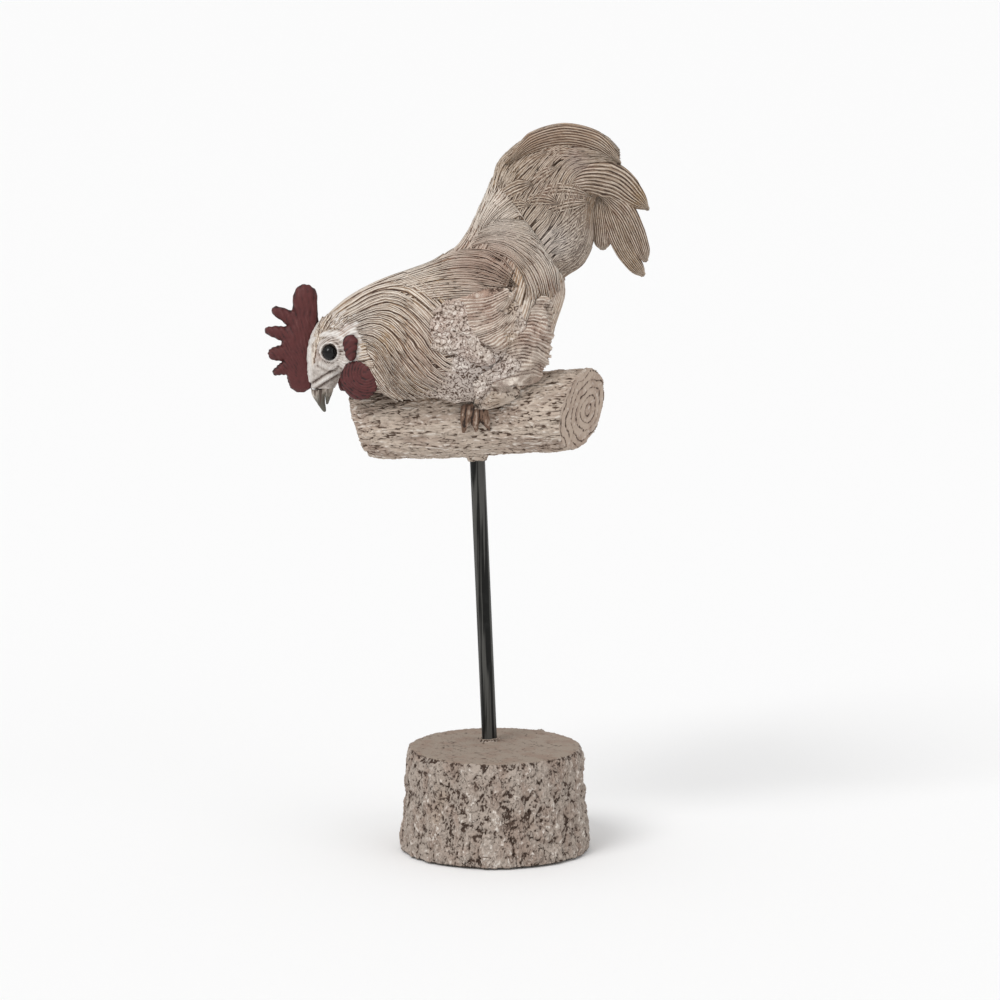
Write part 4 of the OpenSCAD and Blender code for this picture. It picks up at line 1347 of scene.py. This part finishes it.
BELLY_LINE_PX = ((355, 375, 400, 440, 452, 476, 490, 530), (388, 392, 394, 397, 402, 400, 386, 386))

# Single places in the photograph: where the bare face ends (on its middle row), where the core
# turns from face to breast, the rows where the curls begin, the rump and the thigh's rear, in
# columns, and radii round the eye.
FACE_END_PX = (352.0, 372.0)
FACE_ROW_PX = 340.0
BREAST_START_PX = 385.0
FLUFF_TOP_PX = (297.0, 303.0)
RUMP_PX = (512.0, 300.0)
THIGH_REAR_PX = (530.0, 548.0)
EYE_WELL_PX = (7.2, 8.3)
EYE_RIM_PX = 8.9
EYE_CREASE_PX = 11.0


def undercoat(loft: Loft, first: float, last: float) -> Flow:
    """A flow along a loft's whole left side."""
    t = np.linspace(first, last, 12)
    angle = np.linspace(0, 180, 9)
    tt, aa = np.meshgrid(t, angle, indexing="xy")
    return Flow(loft, [], net=np.stack([tt, aa], -1))


def overlaps(rows: int, length: float) -> list[tuple[float, float, float]]:
    """Short layers that follow one another along a flow."""
    return [(k / rows * (1 - length), k / rows * (1 - length) + length, 0.0) for k in range(rows + 1)]


class Recast:
    """A solid's skin meshed again evenly, ready for carving."""

    def __init__(self, node: str, name: str, voxel: float, soften: int = 3) -> None:
        """Copies the solid and remeshes the copy."""
        bpy.ops.object.select_all(action="DESELECT")
        self.node = node
        self.piece = bpy.data.objects.new(name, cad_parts[node].data.copy())
        bpy.context.scene.collection.objects.link(self.piece)
        bpy.context.view_layer.objects.active = self.piece
        self.piece.select_set(True)
        bpy.ops.object.mode_set(mode="EDIT")
        bpy.ops.mesh.select_all(action="SELECT")
        bpy.ops.mesh.remove_doubles(threshold=0.00001)
        bpy.ops.object.mode_set(mode="OBJECT")
        remesh = self.piece.modifiers.new("even", "REMESH")
        remesh.mode = "VOXEL"
        remesh.voxel_size = voxel
        bpy.ops.object.modifier_apply(modifier="even")
        smooth = self.piece.modifiers.new("soften", "SMOOTH")
        smooth.iterations = soften
        bpy.ops.object.modifier_apply(modifier="soften")
        self.mesh = self.piece.data
        self.points = self.rows(self.mesh.vertices, "co")
        self.normals = self.rows(self.mesh.vertex_normals, "vector")
        LOG.info("%s: %d points", name, len(self.points))

    @staticmethod
    def rows(items: bpy.types.bpy_prop_collection, key: str) -> Array:
        """One vector of each item of a mesh."""
        values = np.empty(len(items) * 3)
        items.foreach_get(key, values)
        return values.reshape(-1, 3)

    def finish(self, height: Array, relief: Array, material: bpy.types.Material, slot: str,
               quill: Array | None = None, zone: Array | None = None) -> bpy.types.Object:
        """Carves the skin and settles the piece.

        Args:
            height: how far each point moves outward.
            relief: 0 in a groove to 1 on a ridge.
            material: the finish.
            slot: the record's material slot; not used.
            quill: values for the material, or none.
            zone: ochre, rose and grey shares, or none.

        Returns:
            The piece.
        """
        moved = self.points + self.normals * height[:, None]
        self.mesh.vertices.foreach_set("co", moved.astype(np.float32).ravel())
        blank = np.zeros((len(moved), 3))
        give_values(self.mesh, blank if quill is None else quill, np.clip(relief, 0, 1),
                    blank if zone is None else zone)
        self.mesh.materials.clear()
        self.mesh.materials.append(material)
        self.mesh.polygons.foreach_set("use_smooth", np.ones(len(self.mesh.polygons), bool))
        self.mesh.update()
        settle(self.piece, slot, self.node)
        return self.piece


def fluffy(pixels: Array) -> Array:
    """Where the breast's short curls show below the cape and the back, from 0 to 1."""
    edge = np.interp(pixels[..., 1], FLUFF_EDGE_PX[0], FLUFF_EDGE_PX[1])
    rear = RUMP_PX[0] + 0.4 * (pixels[..., 1] - RUMP_PX[1])
    return smoothstep(edge - 7.0, edge, pixels[..., 0]) * smoothstep(*FLUFF_TOP_PX, pixels[..., 1]) \
        * smoothstep(rear + 8.0, rear, pixels[..., 0])


def curly(pixels: Array) -> Array:
    """Where short curls lie over the wing and the thigh, from 0 to 1."""
    edge = np.interp(pixels[..., 1], CURL_EDGE_PX[0], CURL_EDGE_PX[1])
    return smoothstep(edge + 3.0, edge - 3.0, pixels[..., 0])


def tucked(pixels: Array) -> Array:
    """How far the underside is let into the bark of the log, from 0 to 1."""
    line = np.interp(pixels[..., 0], BELLY_LINE_PX[0], BELLY_LINE_PX[1])
    return smoothstep(line - 1.0, line + 7.0, pixels[..., 1])


def grown(coats: list[Strands | Plumage], rasp: Rasp) -> list[Batch]:
    """The batches of coats on both sides of the hen."""
    return [batch for side in Flank for coat in coats for batch in coat.grow(rasp, side)]


def gather(name: str, batches: list[Batch], rasp: Rasp, material: bpy.types.Material,
           reach: float, lighten: float) -> None:
    """Makes one piece of batches; reach and lighten are those of Batch.add_to."""
    shape = Shape()
    for batch in batches:
        batch.add_to(shape, rasp, reach, lighten)
    settle(shape.build(name, material), "feather_resin")


def core_skin(loft: Loft, t: Array, angle: Array, height: Array, relief: Array,
              name: str, material: bpy.types.Material) -> bpy.types.Object:
    """One closed skin over a loft, raised by the height at each t and angle of a grid."""
    points = loft.point(t, angle) + loft.normal(t, angle) * height[..., None]
    quill = np.stack([t / (len(loft.table) - 1), (angle % 10) / 5 - 1, t * 0 + 0.5], -1)
    shape = Shape()
    shape.add(points, tube_faces(*t.shape), quill, relief)
    return shape.build(name, material)


@dataclass
class HenBody:
    """The body casting: its carved core, and the strands of cape, back and saddle laid over it."""

    material: bpy.types.Material
    face: bpy.types.Material
    fluff: bpy.types.Material
    combed: bpy.types.Material
    knot: bpy.types.Material
    rings: int = 380
    sides: int = 240
    core_inset: float = 0.0002
    strand: Vane = Vane(columns=11, rows=34, thickness=0.0010, ripple=0.00012)

    def core(self, rasp: Rasp) -> None:
        """The body under the strands, as one closed skin that shows bare on the face."""
        spread = np.linspace(0, 1, self.rings)
        t, angle = np.meshgrid((len(HEN.table) - 1) * (0.7 * spread + 0.3 * spread ** 2),
                               np.arange(self.sides) / self.sides * 360.0, indexing="ij")
        points = HEN.point(t, angle).reshape(-1, 3)
        pixels = seen(points)
        height = clouds(points, 0.004, 5) * 0.0003 + clouds(points, 0.0012, 6, 2) * 0.00018
        for stroke in FACE_STROKES:
            height += stroke.on(pixels)
        height -= 0.007 * tucked(pixels)
        head = 1 - smoothstep(*FACE_END_PX, pixels[:, 0] + 0.35 * (pixels[:, 1] - FACE_ROW_PX))
        gap = np.linalg.norm(pixels - np.array(EYE_PX), axis=-1)
        rim = 0.0005 * np.exp(-0.5 * ((gap - EYE_RIM_PX) / 0.7) ** 2)
        height += rim - 0.0012 * (1 - smoothstep(*EYE_WELL_PX, gap))
        height -= 0.0003 * np.exp(-0.5 * ((gap - EYE_CREASE_PX) / 0.8) ** 2) * head
        fluff = fluffy(pixels)
        height += fluff * (0.0004 * clouds(points, 0.009, 7, 1) + 0.0002 * clouds(points, 0.003, 8, 2))
        skin = height + 0.007 * tucked(pixels)
        height = (height - self.core_inset + 0.0010 * (head + 1.3 * fluff)).reshape(t.shape)
        relief = rasp.relief(t, angle, height, 0.0016).reshape(-1)
        bare = np.maximum(head, fluff)
        relief = relief * (1 - bare) + bare * np.clip(0.46 + skin / (0.0015 + 0.002 * fluff), 0, 1)
        piece = core_skin(HEN, t, angle, height, relief, "head_core", self.face)
        sort_faces(piece, pixels[:, 0] > BREAST_START_PX, self.fluff)
        settle(piece, "feather_resin", "hen_body")

    def build(self) -> None:
        """Makes the body's pieces."""
        rasp = Rasp(HEN)
        slim = replace(self.strand, columns=9)
        coats = {
            "saddle": [Strands(Flow(HEN, NAPE_GUIDES_PX), slim, overlaps(2, 0.6), 19, seed=5),
                       Strands(Flow(HEN, SADDLE_GUIDES_PX), slim,
                               [(0.0, 0.6, 0.0003), (0.3, 0.97, 0.0)], 27, seed=3),
                       Strands(Flow(HEN, COLLAR_GUIDES_PX), slim, overlaps(2, 0.6), 12, seed=10)],
            "back": [Strands(Flow(HEN, BACK_GUIDES_PX), slim,
                             [(0.0, 0.45, 0.0004), (0.2, 0.75, 0.0002), (0.45, 0.98, 0.0)], 23, seed=2)],
            "cape": [Strands(Flow(HEN, CAPE_GUIDES_PX), self.strand,
                             [(0.0, 0.55, 0.0005), (0.16, 0.82, 0.0002), (0.42, 0.98, 0.0)], 30, seed=1),
                     Strands(Flow(HEN, CROWN_GUIDES_PX), self.strand, overlaps(2, 0.5), 8, seed=8)],
        }
        batches = {name: grown(group, rasp) for name, group in coats.items()}
        under = Strands(undercoat(HEN, 7.2, 17.7), replace(slim, rows=16), overlaps(9, 0.16), 44, seed=4,
                        hidden=True, depth=0.0007)
        batches["undercoat"] = [batch.bare(rasp) for batch in grown([under], rasp)]
        for batch in batches["undercoat"]:
            rasp.press(batch.t, batch.angle, batch.height)
        # Relief reach and lighten for each group; the saddle and undercoat strands are painted paler, and the
        # back a little, a painted lift of light where they lie in shade.
        wear_and_painted_light = {"cape": (0.0013, 0.0), "back": (0.0026, 0.1)}
        for name, group in batches.items():
            gather(name + "_strands", group, rasp, self.material, *wear_and_painted_light.get(name, (0.0026, 0.26)))
        self.core(rasp)
        for side in Flank:
            self.limb("wing_" + side.name.lower(), WING_COMBING, 11)
            self.limb("thigh_" + side.name.lower(), THIGH_COMBING, 12)

    def limb(self, node: str, combing: Combing, seed: int) -> None:
        """Carves a wing or a thigh with strokes that follow its guides, and with curls near the breast."""
        limb = Recast(node, node + "_combed", 0.0004, 6)
        along, turn, wave = combing.read(limb.points, seed)
        pixels = seen(limb.points)
        curl, bark = curly(pixels), tucked(pixels)
        sway = 2.5 * clouds(limb.points, 0.007, seed + 3, 2)
        wave = 0.65 * wave + 0.5 * np.sin(2 * math.pi * turn * 1.7 + sway)
        wave = wave * (1 - curl) * (0.9 + 0.6 * clouds(limb.points, 0.005, seed + 4, 1))
        band = np.sin(2 * math.pi * turn / 6.3 + 3.0 * clouds(limb.points, 0.012, seed, 1)) * (1 - curl)
        fine = clouds(limb.points, 0.0018, seed + 1, 2)
        rear = smoothstep(*THIGH_REAR_PX, pixels[:, 0])
        quill = np.stack([along * 2, turn * (2 * math.pi / 8), clouds(limb.points, 0.02, seed + 2, 1)], -1)
        height = 0.0002 * wave + (0.0002 + 0.0011 * rear) * band + (0.00012 + 0.0003 * curl) * fine
        height -= 0.005 * bark
        relief = 0.56 + 0.24 * wave + 0.12 * band + 0.14 * fine
        piece = limb.finish(height, relief, self.combed, "feather_resin", quill, tinted(limb.points) * 0.35)
        sort_faces(piece, np.where(bark > 0.4, 2, curl > 0.5), self.fluff, self.knot)


@dataclass
class Tail:
    """The tail: a core, coverts laid over it and sickles that hang free."""

    material: bpy.types.Material
    rings: int = 160
    sides: int = 200
    strand: Vane = Vane(columns=9, rows=17, thickness=0.0011, ripple=0.00012)
    covert: Vane = Vane(columns=23, rows=60, thickness=0.0008, ripple=0.00016, ripples=4, barb=0.00008,
                        barb_slope=3.0, blunt=0.3, taper=0.7, edge=0.2, crisp=0.35, weight=0.6, hairs=2.2)
    sickle: Vane = Vane(columns=41, rows=110, thickness=0.0016, ripple=0.00018, ripples=8, barb=0.0001,
                        barb_slope=3.6, blunt=0.4, taper=0.84, edge=0.0, crisp=0.3, weight=0.4, hairs=3.6)

    def build(self) -> None:
        """Makes the tail's pieces."""
        rasp = Rasp(TAIL)
        under = Strands(undercoat(TAIL, 0.02, 8.95), self.strand, overlaps(8, 0.26), 34, seed=21,
                        widest=0.0014)
        coats = {"tail_strands": under, "tail_coverts": Plumage(TAIL, self.covert, TAIL_COVERTS, 22),
                 "tail_sickles": Plumage(TAIL, self.sickle, SICKLE_PLUMES, 23)}
        batches = {name: grown([coat], rasp) for name, coat in coats.items()}
        t, angle = np.meshgrid(np.linspace(0, len(TAIL.table) - 1, self.rings),
                               np.arange(self.sides) / self.sides * 360.0, indexing="ij")
        height = np.full(t.shape, -0.0004)
        relief = np.maximum(rasp.relief(t, angle, height, 0.0020), 0.25)
        piece = core_skin(TAIL, t, angle, height, relief, "tail_core", self.material)
        settle(piece, "feather_resin", "tail")
        for name, group in batches.items():
            gather(name, group, rasp, self.material, 0.0024, -0.03)


@dataclass
class HeadParts:
    """Comb, beak, lobes, wattles and eyes."""

    comb: bpy.types.Material
    horn: bpy.types.Material
    eye: bpy.types.Material
    fan_px: tuple[float, float] = (322.0, 404.0)
    lobe_px: tuple[float, float] = (368.0, 372.0)
    tip_px: tuple[float, float] = (325.0, 410.0)
    beak_px: float = 46.0

    def build(self) -> None:
        """Makes the head's pieces."""
        comb = Recast("comb", "comb_carved", 0.00035, 4)
        pixels = VIEW.project(comb.points)
        spread = pixels - np.array(self.fan_px)
        turn = np.degrees(np.arctan2(spread[:, 1], -spread[:, 0]))
        far = smoothstep(20.0, 55.0, np.linalg.norm(spread, axis=-1))
        groove = np.sin(turn * 2.0 + 3.0 * clouds(comb.points, 0.007, 31, 2)) * far
        fine = clouds(comb.points, (0.0016, 0.0016, 0.004), 32, 2)
        rim = 1 - smoothstep(0.25, 0.75, np.abs(comb.normals[:, 1]))
        height = 0.00014 * groove + 0.00012 * fine + 0.0003 * clouds(comb.points, 0.006, 36, 1)
        comb.finish(height, 0.5 + 0.13 * groove + 0.16 * fine - 0.3 * rim, self.comb, "comb_resin")
        for node in ("beak_upper", "beak_lower"):
            beak = Recast(node, node + "_carved", 0.0003, 5)
            gap = np.linalg.norm(VIEW.project(beak.points) - np.array(self.tip_px), axis=-1)
            fine = clouds(beak.points, (0.0012, 0.0012, 0.007), 33, 2)
            quill = np.stack([1 - gap / self.beak_px, fine, fine], -1)
            beak.finish(0.00018 * fine, 0.46 + 0.5 * fine, self.horn, "horn_resin", quill)
        for side in Flank:
            label = side.name.lower()
            for node, pitch, lift, seed in (("earlobe_", 5.0, 0.0013, 34), ("wattle_", 3.1, 0.0, 35)):
                flap = Recast(node + label, node + label + "_carved", 0.00033, 4)
                gap = np.linalg.norm(seen(flap.points) - np.array(self.lobe_px), axis=-1)
                arc = np.sin(gap * 2 * math.pi / pitch + 7.0 * clouds(flap.points, 0.012, seed, 2))
                arc = arc * smoothstep(3.0, 9.0, gap)
                fine = clouds(flap.points, 0.0015, seed + 40, 2)
                rim = 1 - smoothstep(0.2, 0.7, np.abs(flap.normals[:, 1]))
                height = lift + 0.00016 * arc + 0.00012 * fine
                flap.finish(height, 0.44 + 0.13 * arc + 0.2 * fine - 0.25 * rim, self.comb, "comb_resin")
            bead = Recast("eye_" + label, "eye_" + label + "_bead", 0.0002, 8)
            plain = np.zeros(len(bead.points))
            bead.finish(plain, plain + 0.5, self.eye, "eye_gloss")


@dataclass
class Perch:
    """The log with its sawn end, the feet on it, the rod and the stump."""

    bark: bpy.types.Material
    shaded_chips: bpy.types.Material
    foot: bpy.types.Material
    rod: bpy.types.Material
    felt: bpy.types.Material
    sawn: bpy.types.Material
    end: bpy.types.Material
    pith_rise: float = 0.0055

    def build(self) -> None:
        """Makes the perch's pieces."""
        self.log()
        self.stump()
        for side in Flank:
            node = "foot_" + side.name.lower()
            foot = Recast(node, node + "_carved", 0.00035, 4)
            string = clouds(foot.points, (0.0012, 0.0012, 0.006), 41, 2)
            fine = clouds(foot.points, 0.001, 42, 2)
            height = 0.0002 * string + 0.0001 * fine
            foot.finish(height, 0.4 + 0.55 * string + 0.2 * fine, self.foot, "skin_resin")
        for node, material in (("rod", self.rod), ("felt_pad", self.felt)):
            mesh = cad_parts[node].data
            mesh.materials.clear()
            mesh.materials.append(material)

    def log(self) -> None:
        """The log: stringy bark, and rings on the sawn end."""
        log = Recast("log", "log_bark", 0.0005, 2)
        centre = log.points.mean(0)
        axis = np.linalg.eigh(np.cov((log.points - centre).T))[1][:, -1]
        axis = axis * np.sign(axis[0])
        side = unit(np.cross(np.array([0, 0, 1.0]), axis))
        local = (log.points - centre) @ np.stack([axis, side, np.cross(axis, side)], -1)
        facing = log.normals @ axis
        end = smoothstep(0.75, 0.93, facing)
        warp = local + 0.0016 * np.stack([clouds(local, 0.007, 50 + k, 2) for k in range(3)], -1)
        crack, owner = plates(warp, (0.0075, 0.0027, 0.0027), 53)
        string = 1 - 2.4 * np.abs(clouds(warp, (0.014, 0.0024, 0.0024), 54, 3))
        lumps = clouds(local, (0.02, 0.008, 0.008), 55, 2)
        pits = clouds(local, 0.0012, 56, 2)
        plate = smoothstep(0.0, 0.2, crack)
        streak = clouds(warp, (0.010, 0.0011, 0.0011), 59, 2)
        bark = 0.0003 * plate + 0.0003 * string + 0.0006 * lumps + 0.0002 * pits + 0.0003 * streak - 0.0004
        away = log.points - centre
        across = away - (away @ axis)[:, None] * axis
        middle = log.points[end > 0.9].mean(0) - centre
        middle = middle - (middle @ axis) * axis + np.array([0.0, 0.0, self.pith_rise])
        radius = np.linalg.norm(across - middle, axis=-1) * (1 + 0.12 * clouds(local, 0.02, 57, 2))
        rings = np.sin(radius / 0.0042 * 2 * math.pi + 2.2 * clouds(local, 0.009, 58, 2))
        rings = 0.4 - 1.6 * np.exp(-((rings + 1.0) / 0.35) ** 2)
        sawn = 0.0003 * rings + 0.00015 * pits
        pixels = seen(log.points)
        knot = sum(stroke.on(pixels) for stroke in KNOT_STROKES)
        height = (bark + knot) * (1 - end) + sawn * end
        worn = 0.36 + 0.12 * plate + 0.1 * string + 0.12 * pits + 0.17 * streak + 0.05 * owner + 220.0 * knot
        relief = worn * (1 - end) + (0.5 + 0.36 * rings + 0.2 * pits) * end
        piece = log.finish(height, relief, self.bark, "bark_resin")
        sort_faces(piece, end > 0.5, self.end)

    def stump(self) -> None:
        """The stump: chunky bark round its side and a worn sawn top."""
        stump = Recast("stump", "stump_bark", 0.00066, 2)
        points = stump.points
        top = smoothstep(0.6, 0.9, stump.normals[:, 2])
        under = smoothstep(0.6, 0.9, -stump.normals[:, 2])
        turn = np.arctan2(points[:, 1], points[:, 0])
        radius = np.linalg.norm(points[:, :2], axis=-1)
        plain = 1 - top - under
        side = plain > 0.99
        cells = (110, 26)
        i = ((turn / (2 * math.pi) + 0.5) * cells[0]).astype(int) % cells[0]
        j = np.clip((points[:, 2] / points[:, 2].max() * cells[1]).astype(int), 0, cells[1] - 1)
        total, count = np.zeros(cells), np.zeros(cells)
        np.add.at(total, (i[side], j[side]), radius[side])
        np.add.at(count, (i[side], j[side]), 1.0)
        total, count = (sum(np.roll(np.pad(grid, ((0, 0), (2, 2))), (u, v), (0, 1)) for u in range(-2, 3)
                            for v in range(-2, 3))[:, 2:-2] for grid in (total, count))
        dent = radius - (total / np.maximum(count, 1))[i, j]
        warp = points + 0.0018 * np.stack([clouds(points, 0.008, 60 + k, 2) for k in range(3)], -1)
        line = np.abs(clouds(warp, (0.005, 0.005, 0.011), 63, 2))
        small = np.abs(clouds(warp, (0.0026, 0.0026, 0.0045), 64, 2))
        lumps = clouds(points, 0.006, 65, 2)
        pits = clouds(points, 0.0013, 66, 2)
        cut = np.exp(-(line / 0.05) ** 2) + 0.6 * np.exp(-(small / 0.06) ** 2)
        ridge = clouds(warp, (0.006, 0.006, 0.03), 68, 2)
        bark = 0.0007 * lumps + 0.0007 * ridge + 0.0004 * pits - 0.0010 * cut
        saw = np.sin(points @ np.array([900.0, 520.0, 0.0]) + 5 * clouds(points, 0.03, 67, 2))
        height = bark * plain + (0.00006 * saw + 0.0002 * pits + 0.0002 * lumps) * top
        worn = 0.5 + np.clip(dent / 0.004, -0.2, 0.1) + 0.1 * lumps + 0.12 * ridge + 0.1 * pits - 0.4 * cut
        relief = worn * plain + (0.44 + 0.05 * saw + 0.2 * pits + 0.06 * lumps) * top + 0.2 * under
        piece = stump.finish(height, relief, self.shaded_chips, "bark_resin")
        sort_faces(piece, top > 0.5, self.sawn)


@dataclass
class Studio:
    """A plain pale floor, soft light and the camera."""

    floor_size: float = 60.0
    ambient: float = 0.68
    key: float = 1.3
    fill: float = 0.35

    def build(self) -> None:
        """Adds the floor, the lamps, the world and the camera."""
        VIEW.camera()
        bpy.ops.object.select_all(action="DESELECT")
        bpy.ops.mesh.primitive_plane_add(size=self.floor_size, location=(0, 0, 0))
        floor = bpy.context.object
        floor.name = "studio_floor"
        floor.data.materials.append(Bench("studio_floor").finish(
            Base_Color=(0.95, 0.95, 0.95, 1), Roughness=0.9, Specular_IOR_Level=0.1))
        self.sun("key", (-0.75, -0.9, 1.25), self.key, 28.0)
        self.sun("fill", (0.9, -0.8, 0.6), self.fill, 45.0)
        self.world()

    @staticmethod
    def sun(name: str, place: tuple[float, float, float], strength: float, softness: float) -> None:
        """Adds a soft sun that shines from a place towards the origin."""
        data = bpy.data.lights.new(name, "SUN")
        data.energy = strength
        data.angle = math.radians(softness)
        lamp = bpy.data.objects.new(name, data)
        x, y, z = place
        lamp.rotation_euler = (math.atan2(math.hypot(x, y), z), 0.0, math.atan2(y, x) + math.pi / 2)
        bpy.context.scene.collection.objects.link(lamp)

    def world(self) -> None:
        """White where the camera sees it, and a softer light elsewhere."""
        world = bpy.data.worlds.new("studio")
        bpy.context.scene.world = world
        world.use_nodes = True
        nodes, links = world.node_tree.nodes, world.node_tree.links
        ground = nodes["Background"]
        ground.inputs[0].default_value = (1, 1, 1, 1)
        path = nodes.new("ShaderNodeLightPath")
        strength = nodes.new("ShaderNodeMapRange")
        links.new(path.outputs["Is Camera Ray"], strength.inputs[0])
        strength.inputs[3].default_value = self.ambient
        strength.inputs[4].default_value = 1.0
        links.new(strength.outputs[0], ground.inputs[1])


def main() -> None:
    """Builds the figurine's pieces and the studio."""
    logging.basicConfig(level=logging.INFO, format="%(message)s")
    bpy.context.scene.view_settings.view_transform = "Standard"
    feather = FEATHER_WASH.material()
    bark = BARK_WASH.material()
    HenBody(feather, FACE_WASH.material(), BREAST_WASH.material(), COMBED_WASH.material(), bark).build()
    Tail(TAIL_WASH.material()).build()
    HeadParts(COMB_WASH.material(), BeakHorn().material(), EYE_GLOSS.material()).build()
    Perch(bark, STUMP_WASH.material(), FOOT_WASH.material(), ROD_BLACK.material(), FELT.material(),
          TOP_WASH.material(), END_WASH.material()).build()
    Studio().build()


if __name__ == "__main__":
    main()
